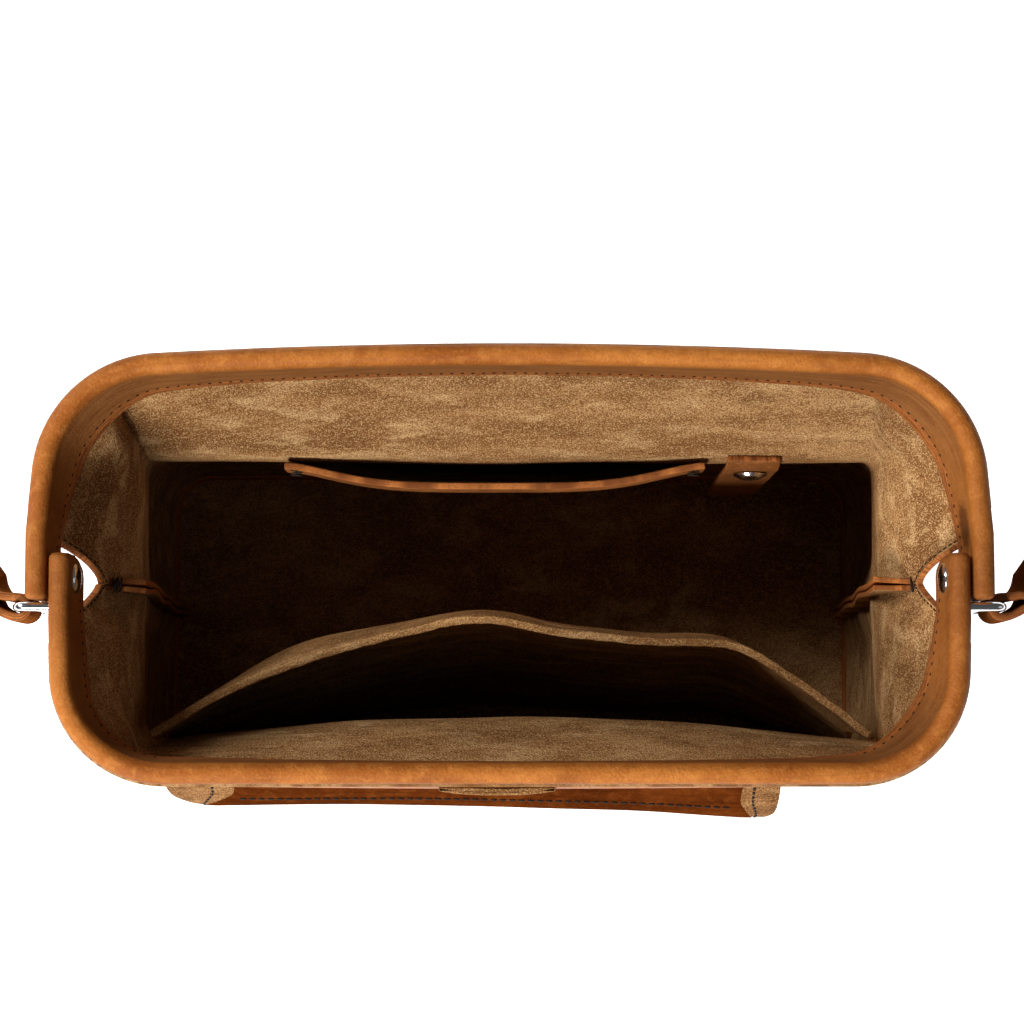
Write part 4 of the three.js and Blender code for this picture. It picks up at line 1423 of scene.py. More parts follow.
@dataclass
class RimHalf:
    """One half of the rim: a leather-wrapped bead over a flat bar, with a facing inside the bag."""

    half: Half
    name: str
    node: str
    bead_steps: int = 26
    bead_from: float = -58.0
    bead_to: float = 178.0
    tip_steps: int = 8
    end_round: float = 1.8
    end_steps: int = 5
    core_depth: float = 15.0
    core_offset: float = 1.7
    core_least: float = 0.2
    core_top: float = -8.0
    bead_foot: float = 1.0
    facing_thickness: float = 1.8
    facing_steps: int = 8
    edge_line: float = 0.74
    edge_round: float = 0.5
    edge_sides: int = 5
    back_sides: int = 3
    uneven: Rumple = Rumple(height=0.14, size=(16.0, 16.0, 16.0), seed=5.3)
    # Painted shade on the outer side of the bead, darkest underneath
    shaded_outside: Fade = Fade(start=40.0, span=-55.0, share=0.7)
    # Painted shade on the inner side of the bead, towards the facing
    shaded_inside: Fade = Fade(start=140.0, span=38.0, share=0.6)
    handled: Fade = Fade(start=50.0, span=-50.0)
    handled_most: float = 0.5
    handled_least: float = 0.3
    lower_from: float = 50.0
    lower_least: float = 0.15
    arm_lean: float = 1.2
    arm_lean_y: float = 45.0
    corner_lean: float = 4.5
    corner_place: tuple[float, float] = (124.0, 44.0)
    corner_size: float = 20.0
    tip_cut: float = 4.6
    tip_rise: float = 6.0
    tip_out: float = 0.8
    dent: float = 0.9
    dent_size: float = 6.5
    sewn_from: float = 105.0

    def outline(self, inset: float) -> np.ndarray:
        """Closed section, as offset out of the bag and height over the middle of the bead.

        Args:
            inset: How far the section is drawn in, for the rounded ends.

        Returns:
            The points of the section, with the first one repeated at the end.
        """
        radius = BEAD_RADIUS - inset
        core = max(self.core_offset - inset, self.core_least)
        thin = min(inset, (self.facing_thickness - self.core_least) / 2)
        bead = [(radius * math.cos(a), radius * math.sin(a)) for a in np.radians(self.bead_angles())]
        inner, outer = thin - BEAD_RADIUS, self.facing_thickness - BEAD_RADIUS - thin
        bottom = thin - FACING_DEPTH
        drop = np.append(np.linspace(0, self.edge_line, self.facing_steps - 1), 1.0)
        depth = bottom + self.edge_round + self.bead_foot
        facing_side = [(inner, depth * share - self.bead_foot) for share in drop]
        step = self.edge_round / 2
        edge = [(inner + step, bottom), (outer - step, bottom), (outer, bottom + self.edge_round)]
        core_foot = [(outer, -self.core_depth - self.core_least), (core, thin - self.core_depth)]
        return np.array(bead + facing_side + edge + core_foot + [(core, self.core_top)] + bead[:1])

    def bead_angles(self) -> np.ndarray:
        """Angles round the bead in degrees, from under its outer side over the top to its inner side."""
        return np.linspace(self.bead_from, self.bead_to, self.bead_steps)

    def slots(self) -> np.ndarray:
        """Material slot of each side of the section."""
        wrapped = self.bead_steps + self.facing_steps - 2
        layers = [Layer.OUTSIDE.value, Layer.EDGE.value, Layer.INSIDE.value]
        return np.repeat(layers, [wrapped, self.edge_sides, self.back_sides])

    def rings(self) -> np.ndarray:
        """Places by row round the section and by column along the rim."""
        plan = RIM_PLANS[self.half]
        turn = np.linspace(0, math.pi / 2, self.end_steps)
        straight = np.linspace(self.end_round, TIP_REACH + KNEE_Y, self.tip_steps + 1)[1:-1]
        along = [*(self.end_round * (1 - np.cos(turn))), *straight]
        insets = [*(self.end_round * (1 - np.sin(turn))), *np.zeros(len(straight))]
        full = self.outline(0.0)
        lines = [plan.moved(offset, max(0.0, -height / FACING_DEPTH)).line() for offset, height in full]
        half_rings = []
        for reach, inset in zip(along, insets):
            outline = self.outline(inset)
            half_rings.append([(plan.arm + x, reach - TIP_REACH, BEAD_Z + z) for x, z in outline])
        for column in range(len(lines[0])):
            half_rings.append([(*line[column], BEAD_Z + z) for line, (_, z) in zip(lines, full)])
        right = np.array(half_rings)
        both = np.concatenate([right, right[:-1][::-1] * (-1, 1, 1)]).transpose(1, 0, 2)
        return both * (1, self.half.value, 1)

    def facing_rows(self) -> np.ndarray:
        """Share of the facing at each row of the section."""
        share = np.zeros(len(self.outline(0.0)))
        first = self.bead_steps
        share[first : first + self.facing_steps + self.edge_sides - 1] = 1
        return share

    def shape(self) -> np.ndarray:
        """Rings with the lean of the arms, the dents round the rivets and an uneven surface."""
        points = self.rings()
        normals = grid_normals(points) * self.half.value
        points = points + normals * self.uneven.at(points)[:, :, None]
        side = np.sign(points[:, :, 0]) * self.facing_rows()[:, None]
        drop = np.clip((BEAD_Z - points[:, :, 2]) / FACING_DEPTH, 0, 1)
        near = np.clip(1 - np.abs(points[:, :, 1]) / self.arm_lean_y, 0, 1)
        points[:, :, 0] -= side * self.arm_lean * drop * near
        ends = np.abs(points[:, :, :2])
        corner = np.exp(-np.sum(((ends - self.corner_place) / self.corner_size) ** 2, axis=2))
        corner *= (points[:, :, 0] > 0) | (self.half is Half.BACK)
        inward = np.sign(points[:, :, :2]) * (self.facing_rows()[:, None] * drop * corner)[:, :, None]
        points[:, :, :2] -= inward * self.corner_lean * math.sqrt(0.5)
        reach = TIP_REACH + self.half.value * points[:, :, 1]
        tip = np.clip(1 - reach / self.tip_cut, 0, 1) * drop * self.facing_rows()[:, None]
        points[:, :, 0] += np.sign(points[:, :, 0]) * self.tip_out * tip
        points[:, :, 2] += self.tip_rise * tip
        if self.half is Half.FRONT:
            away = np.linalg.norm(points[:, :, 1:] - (0, RIVET_Z), axis=2)
            points[:, :, 0] += side * self.dent * np.exp(-((away / self.dent_size) ** 2))
        points[-1] = points[0]
        return points

    def build(self) -> None:
        """Model the half and dress it."""
        points = self.shape()
        angles = self.bead_angles()
        worn_and_shaded = np.zeros(points.shape[0])
        # Painted shade under the outer side of the bead
        worn_and_shaded[: self.bead_steps] = self.shaded_outside.at(angles)
        away = np.abs(points[:, :, 1])
        dark_arm = (points[:, :, 0] > 0) | (self.half is Half.FRONT)
        handled = self.handled.at(away) * np.where(dark_arm, self.handled_most, self.handled_least)
        # The facing is its own darker leather, less of it towards the tips; the bead's inner side gets
        # painted shade
        lower = self.facing_rows()
        lower[: self.bead_steps] = self.shaded_inside.at(angles)
        reach = np.clip(away / self.lower_from, self.lower_least, 1)
        # Painted shade on the bead, with real wear near the hinge ends
        marks = {"wear_and_shade": np.maximum(worn_and_shaded[:, None], handled), "lower": lower[:, None] * reach}
        piece = tube(self.name, points, self.slots(), marks)
        dress(piece, RIM_LEATHER, WALL_SUEDE, ORANGE_EDGE, angle=60.0)
        stand_for(piece, "rim_leather", self.node)

    def seams(self) -> list[Seam]:
        """Small sunk stitches near the lower edge of the facing, at the front only towards its ends."""
        points = self.shape()
        row = self.bead_steps + self.facing_steps - 2
        normals = grid_normals(points) * self.half.value
        columns = np.arange(self.end_steps + 2, points.shape[1] - self.end_steps - 2)
        sewn = points[row, columns, 0]
        ends = [columns[sewn > self.sewn_from], columns[sewn < -self.sewn_from]]
        return [
            Seam(points[row, end], normals[row, end], RIM_STITCH)
            for end in (ends if self.half is Half.FRONT else [columns])
        ]


@dataclass
class BaseTray:
    """Shallow leather tray under the body."""

    width: float = 258.0
    depth: float = 108.0
    height: float = 8.0
    corner: float = 16.0
    corner_steps: int = 10
    foot: float = 4.0
    foot_steps: int = 4
    wall: float = 2.5
    wall_slope: float = 0.3
    floor: float = 2.5
    level: float = 0.9

    def build(self) -> None:
        """Model the tray from a block and dress it."""
        clear_selection()
        bpy.ops.mesh.primitive_cube_add(size=1.0, location=(0, 0, 0))
        piece = rename(bpy.context.object, "base_tray")
        size = np.array([self.width, self.depth, self.height]) * MM
        for vertex in piece.data.vertices:
            vertex.co = Vector(np.array(vertex.co) * size + (0, 0, size[2] / 2))
        self.round_upright(piece)
        self.hollow(piece)
        dress(piece, BODY_LEATHER, WALL_SUEDE, angle=40.0)
        stand_for(piece, "tan_leather", "base")

    def round_upright(self, piece: Piece) -> None:
        """Round the upright corners, then the edge of the underside.

        Args:
            piece: Block to round.
        """
        middle = self.height * MM / 2
        self.bevel_edges(piece, lambda a, b: abs(a.z - b.z) > middle, self.corner, self.corner_steps)
        self.bevel_edges(piece, lambda a, b: max(a.z, b.z) < middle, self.foot, self.foot_steps)

    @staticmethod
    def bevel_edges(
        piece: Piece, chosen: Callable[[Vector, Vector], bool], width: float, steps: int
    ) -> None:
        """Bevel some edges of a piece.

        Args:
            piece: Object to change.
            chosen: Test of the two ends of an edge, in metres.
            width: Width of the bevel in millimetres.
            steps: Steps across the bevel.
        """
        pick(piece)
        bpy.context.tool_settings.mesh_select_mode = (False, True, False)
        mesh = piece.data
        for face in mesh.polygons:
            face.select = False
        for edge in mesh.edges:
            edge.select = chosen(*(mesh.vertices[end].co for end in edge.vertices))
        bpy.ops.object.mode_set(mode="EDIT")
        bpy.ops.mesh.bevel(offset=width * MM, segments=steps, profile=0.5, affect="EDGES")
        bpy.ops.object.mode_set(mode="OBJECT")

    def hollow(self, piece: Piece) -> None:
        """Sink the floor of the tray inside a low wall.

        Args:
            piece: Rounded block.
        """
        pick(piece)
        bpy.context.tool_settings.mesh_select_mode = (False, False, True)
        mesh = piece.data
        for face in mesh.polygons:
            face.select = face.normal.z > self.level
        bpy.ops.object.mode_set(mode="EDIT")
        bpy.ops.mesh.inset(thickness=self.wall * MM, depth=0)
        bpy.ops.mesh.inset(thickness=self.wall_slope * MM, depth=(self.floor - self.height) * MM)
        bpy.ops.object.mode_set(mode="OBJECT")
        for face in mesh.polygons:
            if face.normal.z > self.level and face.center.z < self.height * MM / 2:
                face.material_index = Layer.INSIDE.value


# Metal fittings


@dataclass
class HingeRivet:
    """Rivet through both rim halves at one end, with a domed head at each side."""

    hand: Hand
    shank: float = 1.8
    head: float = 4.9
    head_height: float = 1.9
    sink: float = 0.3
    outer_seat: float = 2.0
    dome_steps: int = 10
    sides: int = 40
    # Backs of the inner and the outer head: distance along X, and how far in from the head's radius
    inner_back: tuple[tuple[float, float], ...] = ((0.35, 0.1), (0.5, 0.6))
    outer_back: tuple[tuple[float, float], ...] = ((-0.2, 0.5), (0.0, 0.1))

    def profile(self) -> np.ndarray:
        """Half section, as distance along X and radius."""
        inner = FRONT_RIM.arm - BEAD_RADIUS + self.sink
        outer = BACK_RIM.arm + self.outer_seat
        dome = np.radians(np.linspace(90, 0, self.dome_steps))
        low = [(inner - self.head_height * math.sin(a), self.head * math.cos(a)) for a in dome]
        high = [(outer + self.head_height * math.sin(a), self.head * math.cos(a)) for a in dome[::-1]]
        inner_back = [(inner + x, self.head - inset) for x, inset in self.inner_back]
        outer_back = [(outer + x, self.head - inset) for x, inset in self.outer_back]
        shank = [(inner_back[-1][0], self.shank), (outer_back[0][0], self.shank)]
        return np.array(low + inner_back + shank + outer_back + high)

    def build(self) -> None:
        """Turn the profile round the hinge line and dress it."""
        x, radius = self.profile().T
        rings = [
            np.stack([self.hand.value * x, radius * math.cos(a), RIVET_Z + radius * math.sin(a)], axis=1)
            for a in np.linspace(0, 2 * math.pi, self.sides + 1)
        ]
        piece = tube(f"rivet_{self.hand.name.lower()}", np.array(rings))
        dress(piece, NICKEL, angle=45.0)
        stand_for(piece, "polished_metal", f"hinge_rivet_{self.hand.name.lower()}")


@dataclass
class StrapLoop:
    """Upright rectangular wire loop at one end, on a short post at the front rim."""

    hand: Hand
    wire: float = 1.35
    inner_x: float = 139.95
    outer_x: float = 147.2
    top: float = 205.5
    bottom: float = 182.5
    y: float = -9.0
    corner: float = 2.6
    corner_steps: int = 6
    post_sink: float = 0.2
    post_steps: int = 8
    sides: int = 16

    def path(self) -> np.ndarray:
        """Closed line along the middle of the wire, in x and z."""
        corners = [
            np.array([self.outer_x, self.bottom]),
            np.array([self.outer_x, self.top]),
            np.array([self.inner_x, self.top]),
            np.array([self.inner_x, self.bottom]),
        ]
        around = [corners[-1], *corners, corners[0]]
        line = np.vstack([
            rounded_corner(*around[first : first + 3], self.corner, self.corner_steps)
            for first in range(len(corners))
        ])
        return np.vstack([line, line[:1]])

    def wire_tube(self, name: str, line: np.ndarray) -> Piece:
        """Round wire along a line.

        Args:
            name: Name of the new object.
            line: Points of the line in x and z.

        Returns:
            The new object.
        """
        along = np.gradient(line, axis=0)
        if np.allclose(line[0], line[-1]):
            along[0] = along[-1] = line[1] - line[-2]
        along = along / np.linalg.norm(along, axis=1, keepdims=True)
        rings = []
        for angle in np.linspace(0, 2 * math.pi, self.sides + 1):
            out = self.wire * math.cos(angle)
            x = line[:, 0] + along[:, 1] * out
            z = line[:, 1] - along[:, 0] * out
            y = np.full(len(line), self.y + self.wire * math.sin(angle))
            rings.append(np.stack([self.hand.value * x, y, z], axis=1))
        return tube(name, np.array(rings))

    def build(self) -> None:
        """Model the loop and its post and dress them."""
        name = f"loop_{self.hand.name.lower()}"
        loop = self.wire_tube(name, self.path())
        start = FRONT_RIM.arm + BEAD_RADIUS - self.post_sink
        xs = np.linspace(start, self.inner_x + self.corner, self.post_steps)
        post = self.wire_tube(name + "_post", np.stack([xs, np.full_like(xs, self.top)], axis=1))
        piece = join([loop, post], name)
        dress(piece, NICKEL, angle=60.0)
        stand_for(piece, "polished_metal", f"strap_loop_{self.hand.name.lower()}")


# Strap


@dataclass
class ShoulderStrap:
    """Flat strap on both loops, folded back on itself at each end and laid round behind the bag."""

    width: float = 18.0
    thickness: float = 2.7
    turn: float = 3.0
    turn_steps: int = 14
    fold: float = 42.0
    fold_close: float = 10.0
    fold_gap: float = 0.3
    sewn_from: float = 24.0
    sewn_to: float = 38.0
    sewn_inset: float = 3.0
    # Painted shade: darker towards the right loop, where the strap lies in the bag's shadow
    wear_and_shade: Fade = Fade(start=98.0, span=-70.0, share=0.7)
    # Upper face from its edge inwards, as distance from the edge and drop; half of its flat middle
    crown: tuple[tuple[float, float], ...] = ((0.6, 0.15), (2.2, 0.0))
    flat_half: float = 3.0
    side_inset: float = 0.1
    side_drop: float = 0.55
    span_steps: int = 8
    loop_x: float = 147.2
    loop_y: float = -9.0
    loop_z: float = 194.0
    # Places on the way, each with 1 where the width stands upright or 0 where it lies level
    route: tuple[tuple[float, float, float, float], ...] = (
        (147.2, -6, 194, 1),
        (152.5, -5.2, 194, 0.97),
        (158, -2.2, 193.7, 0.6),
        (167, 6, 191, 0.4),
        (179, 16.5, 183, 0.25),
        (191, 27, 164, 0.1),
        (199, 35, 131, 0),
        (204, 43, 92, 0),
        (208, 51, 54, 0.1),
        (213, 63, 27, 0.5),
        (219, 82, 12.5, 0.9),
        (224, 110, 9.3, 1),
        (227, 150, 9.3, 1),
        (226, 195, 9.3, 1),
        (215, 232, 9.3, 1),
        (187, 254, 9.3, 1),
        (120, 259, 9.3, 1),
        (55, 256, 9.3, 1),
        (0, 255, 9.3, 1),
    )

    def run(self) -> tuple[np.ndarray, np.ndarray, np.ndarray]:
        """Middle line, direction and width direction, from the right loop to the left."""
        right = np.array(self.route, float)
        both = np.vstack([right, right[:-1][::-1] * (-1, 1, 1, 1)])
        points, edges = both[:, :3], both[:, 3]
        centre = smooth_path(points, self.span_steps)
        share = np.linspace(0, len(points) - 1, len(centre))
        edge = np.interp(share, np.arange(len(points)), edges)[:, None]
        along = np.gradient(centre, axis=0)
        along = along / np.linalg.norm(along, axis=1, keepdims=True)
        level = np.stack([along[:, 1], -along[:, 0], np.zeros(len(along))], axis=1)
        level = level / np.linalg.norm(level, axis=1, keepdims=True)
        width = level * (1 - edge) + np.array([0, 0, 1]) * edge
        width = width - along * np.sum(width * along, axis=1, keepdims=True)
        return centre, along, width / np.linalg.norm(width, axis=1, keepdims=True)

    def fold_back(
        self, centre: np.ndarray, along: np.ndarray, width: np.ndarray, hand: Hand
    ) -> list[np.ndarray]:
        """Fold at the start of a run: back along it, then round the loop's outer wire.

        Args:
            centre: Middle line of the run.
            along: Direction of the run at each place.
            width: Width direction of the run at each place.
            hand: End of the bag where the run starts.

        Returns:
            Middle line, direction and width direction of the fold.
        """
        steps = np.linalg.norm(np.diff(centre, axis=0), axis=1)
        distance = np.concatenate([[0.0], np.cumsum(steps)])
        count = int(np.searchsorted(distance, self.fold))
        closed = np.clip(distance[1 : count + 1] / self.fold_close, 0, 1)
        closed = closed * closed * (3 - 2 * closed)
        gap = 2 * self.turn + (self.thickness + self.fold_gap - 2 * self.turn) * closed
        out = np.cross(along, width)[1 : count + 1] * hand.value
        folded = centre[1 : count + 1] + out * gap[:, None]
        angles = np.linspace(0, math.pi, self.turn_steps + 1)[:-1]
        bend = level_row(
            hand.value * (self.loop_x - self.turn * np.sin(angles)),
            self.loop_y - self.turn * np.cos(angles),
            self.loop_z,
        )
        bend_along = level_row(-hand.value * np.cos(angles), np.sin(angles), 0.0)
        upright = np.tile((0.0, 0.0, 1.0), (len(angles), 1))
        return [
            np.vstack([folded[::-1], bend]),
            np.vstack([-along[1 : count + 1][::-1], bend_along]),
            np.vstack([width[1 : count + 1][::-1], upright]),
        ]

    def places(self) -> tuple[np.ndarray, np.ndarray, np.ndarray]:
        """Middle line, direction and width direction of the whole strap, folds included."""
        centre, along, width = self.run()
        right = self.fold_back(centre, along, width, Hand.RIGHT)
        left = self.fold_back(centre[::-1], -along[::-1], width[::-1], Hand.LEFT)
        return (
            np.vstack([right[0], centre, left[0][::-1]]),
            np.vstack([right[1], along, -left[1][::-1]]),
            np.vstack([right[2], width, left[2][::-1]]),
        )

    def contour(self) -> tuple[np.ndarray, list[int]]:
        """Closed section of the strap, crowned on both faces, and the material slot of each side."""
        half, thin = self.width / 2, self.thickness / 2
        left = [(inset - half, thin - drop) for inset, drop in self.crown]
        left.append((-self.flat_half, thin))
        face = left + [(-w, t) for w, t in left[::-1]]
        inset, drop = half - self.side_inset, thin - self.side_drop
        side = [(inset, drop), (half, 0.0), (inset, -drop)]
        points = face + side + [(-w, -t) for w, t in face + side]
        one = [Layer.OUTSIDE.value] * (len(face) - 1) + [Layer.EDGE.value] * (len(side) + 1)
        return np.array(points + points[:1]), one + one

    def build(self) -> None:
        """Model the strap and dress it."""
        centre, along, width = self.places()
        across = np.cross(width, along)
        outline, bands = self.contour()
        rings = np.array([centre + width * w + across * t for w, t in outline])
        # Painted shade that darkens the strap towards the right loop
        away = np.linalg.norm(centre - (self.loop_x, self.loop_y, self.loop_z), axis=1)
        wear_and_shade = np.tile(self.wear_and_shade.at(away), (len(outline), 1))
        piece = tube("strap_leather", rings, bands, {"wear_and_shade": wear_and_shade})
        dress(piece, STRAP_LEATHER, STRAP_LEATHER, ORANGE_EDGE)
        stand_for(piece, "strap_leather", "strap")

    def seams(self) -> list[Seam]:
        """Stitch rows that hold each fold: along both edges and across its end, on both faces."""
        rows = []
        centre, along, width = self.run()
        inset = self.width / 2 - self.sewn_inset
        for line, turn in ((centre, 1), (centre[::-1], -1)):
            near = np.linalg.norm(line - line[0], axis=1)
            first, last = np.searchsorted(near[: len(near) // 3], (self.sewn_from, self.sewn_to))
            span = slice(first, last)
            middle, side = line[span], width[::turn][span]
            out = np.cross(along, width)[::turn][span]
            folded = 1.5 * self.thickness + self.fold_gap
            for face, lift in ((1.0, folded), (-1.0, self.thickness / 2)):
                skin = middle + out * face * lift
                for edge in (-inset, inset):
                    rows.append(Seam(skin + side * edge, out * face, STRAP_STITCH))
                for end in (0, -1):
                    ends = np.stack([skin[end] - side[end] * inset, skin[end] + side[end] * inset])
                    rows.append(Seam(ends, np.stack([out[end]] * 2) * face, STRAP_STITCH))
        return rows


# Pockets


@dataclass
class InnerFrontPocket:
    """Full-width pocket inside the front, open at the top and slumping into the bag."""

    thickness: float = 2.6
    columns: int = 270
    rows: int = 60
    slump_x: float = -72.0
    slump_z: float = 135.0
    slump_width: float = 30.0
    slump_height: float = 32.0
    slump_depth: float = 8.0
    swell: Rumple = Rumple(height=0.7, size=(30.0, 30.0, 26.0), seed=11.0)
    rim_wave: Rumple = Rumple(height=0.5, size=(9.0, 9.0, 9.0), seed=2.0)
    rim_fray: Rumple = Rumple(height=0.35, size=(3.0, 3.0, 3.0), seed=8.0)
    frayed: Fade = Fade(start=161.0, span=4.0)
    rim: tuple[tuple[float, float], ...] = (
        (-114, -48.5),
        (-97, -39.5),
        (-66, -28),
        (-35, -17),
        (-9, -12.2),
        (16, -15.7),
        (44, -18.8),
        (72, -20.4),
        (91, -31.3),
        (114, -48),
    )
    # Height, half width, y of the ends and share of the rim's bulge at each level
    levels: tuple[tuple[float, float, float, float], ...] = (
        (2.9, 112, -45, 0.3),
        (30, 118.5, -50, 0.5),
        (70, 118.5, -50, 0.75),
        (110, 114.5, -46.8, 0.95),
        (145, 109, -45, 1.02),
        (166, 112.5, -47, 1.0),
    )

    def grid(self) -> np.ndarray:
        """Middle surface of the pocket."""
        spans = len(self.rim) - 1
        rim = smooth_path(np.array([[x, y, 0.0] for x, y in self.rim]), self.columns // spans)
        table = LevelCurve([row[0] for row in self.levels], [row[1:] for row in self.levels])
        end_x, end_y = self.rim[-1]
        rows = []
        for z in np.linspace(self.levels[0][0], self.levels[-1][0], self.rows):
            half, line, bulge = table.at(z)
            across = (rim[:, 0] - self.slump_x) / self.slump_width
            height = (z - self.slump_z) / self.slump_height
            sag = self.slump_depth * np.exp(-(across**2) - height**2)
            y = line + bulge * (rim[:, 1] - end_y) + sag
            rows.append(level_row(rim[:, 0] * half / end_x, y, z))
        points = facing(np.array(rows), (0, 1, 0))
        free = np.sin(np.linspace(0, math.pi, points.shape[1])) ** 0.5
        swell = self.swell.at(points) * free[None, :]
        points[-1, :, 2] += self.rim_wave.at(points[-1:])[0]
        swell += self.frayed.at(points[:, :, 2]) * self.rim_fray.at(points)
        return points + grid_normals(points) * swell[:, :, None]

    def build(self) -> None:
        """Model the pocket and dress it."""
        piece = sheet("pocket_front_suede", self.grid())
        thicken(piece, self.thickness, offset=0.0, rounding=0.7)
        dress(piece, POCKET_SUEDE, POCKET_SUEDE, RAW_RIM)
        stand_for(piece, "suede", "pocket_inner_front")


@dataclass
class InnerBackPocket:
    """Narrower pocket inside the back, sewn to the wall at its sides and bottom."""

    left: float = -72.6
    right: float = 62.9
    top: float = 152.0
    bottom: float = 44.0
    bulge: float = 6.5
    thickness: float = 2.2
    gap: float = 0.9
    columns: int = 70
    rows: int = 44
    swell: float = 1.6
    seam_column: int = 2
    tack_rise: float = 0.6
    tack_up: Point = (0.0, -0.5, 1.0)
    tack_count: int = 5
    tack_length: float = 4.2

    def grid(self) -> np.ndarray:
        """Middle surface of the pocket."""
        rows = []
        for rise in np.linspace(0, 1, self.rows):
            z = self.bottom + (self.top - self.bottom) * rise
            grow = math.sin(math.pi / 2 * min(1.0, self.swell * rise))
            row = []
            for share in np.linspace(0, 1, self.columns):
                x = self.left + (self.right - self.left) * share
                belly = self.bulge * (1 - (2 * share - 1) ** 4) ** 2 * grow
                inside = WALLS[Half.BACK].reach(x, min(z, WAIST_Z)) - WALL
                row.append((x, inside - self.gap - self.thickness / 2 - belly, z))
            rows.append(row)
        return facing(np.array(rows), (0, -1, 0))

    def build(self) -> None:
        """Model the pocket and dress it."""
        piece = sheet("pocket_back_leather", self.grid())
        thicken(piece, self.thickness, offset=0.0, rounding=0.4)
        dress(piece, STRIP_LEATHER, POCKET_SUEDE, ORANGE_EDGE)
        stand_for(piece, "suede", "pocket_inner_back")

    def seams(self) -> list[Seam]:
        """Bar tacks at both upper corners and stitch rows down the sides."""
        points = self.grid()
        normals = grid_normals(points)
        lift = normals * self.thickness / 2
        rows = []
        for column in (self.seam_column, -1 - self.seam_column):
            line = (points + lift)[:, column]
            rows.append(Seam(line, normals[:, column], INNER_STITCH))
            top = line[-2] + (0, 0, self.tack_rise)
            rows += bar_tack(top, (1, 0, 0), self.tack_up, self.tack_count, self.tack_length)
        return rows


@dataclass
class KeyStrip:
    """Strip that hangs inside the back, with a snap cap near its top."""

    left: float = 70.0
    right: float = 87.0
    top: float = 153.0
    bottom: float = 66.0
    thickness: float = 2.0
    gap: float = 0.9
    snap_radius: float = 5.5
    snap_height: float = 2.4
    snap_below: float = 14.0
    snap_gap: float = 0.1
    snap_sides: int = 40
    round_off: float = 5.0
    rows: int = 60
    columns: int = 12
    uneven: Rumple = Rumple(height=0.3, size=(12.0, 12.0, 20.0), seed=4.0)
    # Rolled rim of the snap and foot of its dome: distance in from its radius, and height
    snap_rim: tuple[tuple[float, float], ...] = ((0.4, 0.0), (0.0, 0.4), (0.25, 0.95), (0.9, 1.0))
    dome_foot: tuple[float, float] = (1.1, 0.9)
    dome_steps: int = 8

    def middle_y(self, z: float) -> float:
        """Y of the middle of the strip, which hangs from the narrowest place of the wall."""
        inside = WALLS[Half.BACK].reach(self.right, max(z, WAIST_Z)) - WALL
        return inside - self.gap - self.thickness / 2

    def build(self) -> None:
        """Model the strip and its snap and dress them."""
        rows = []
        for z in self.bottom + (self.top - self.bottom) * np.linspace(0, 1, self.rows):
            sink = max(0.0, self.round_off - z + self.bottom)
            cut = self.round_off - math.sqrt(max(0.0, self.round_off**2 - sink**2))
            x = np.linspace(self.left + cut, self.right - cut, self.columns)
            rows.append(level_row(x, np.full_like(x, self.middle_y(z)), z))
        points = facing(np.array(rows), (0, -1, 0))
        points[:, :, 1] += self.uneven.at(points)
        strip = sheet("key_strip", points)
        thicken(strip, self.thickness, offset=0.0)
        dress(strip, STRIP_LEATHER, POCKET_SUEDE, ORANGE_EDGE)
        stand_for(strip, "tan_leather", "key_strap")
        self.build_snap()

    def snap_profile(self) -> list[tuple[float, float]]:
        """Half section of the snap, as radius and height."""
        radius = self.snap_radius
        inset, foot = self.dome_foot
        wide, tall = radius - inset, self.snap_height - foot
        dome = np.radians(np.linspace(0, 90, self.dome_steps))
        return [
            (0.0, 0.0),
            *((radius - step, rise) for step, rise in self.snap_rim),
            *((wide * math.cos(a), foot + tall * math.sin(a)) for a in dome),
        ]

    def build_snap(self) -> None:
        """Turn the domed cap with its rolled rim and dress it."""
        x = (self.left + self.right) / 2
        z = self.top - self.snap_below
        y = self.middle_y(z) - self.thickness / 2 - self.snap_gap
        rings = [
            [(x + r * math.cos(angle), y - h, z + r * math.sin(angle)) for r, h in self.snap_profile()]
            for angle in np.linspace(0, 2 * math.pi, self.snap_sides + 1)
        ]
        piece = tube("snap_cap", np.array(rings))
        dress(piece, NICKEL)
        stand_for(piece, "polished_metal", "key_snap")


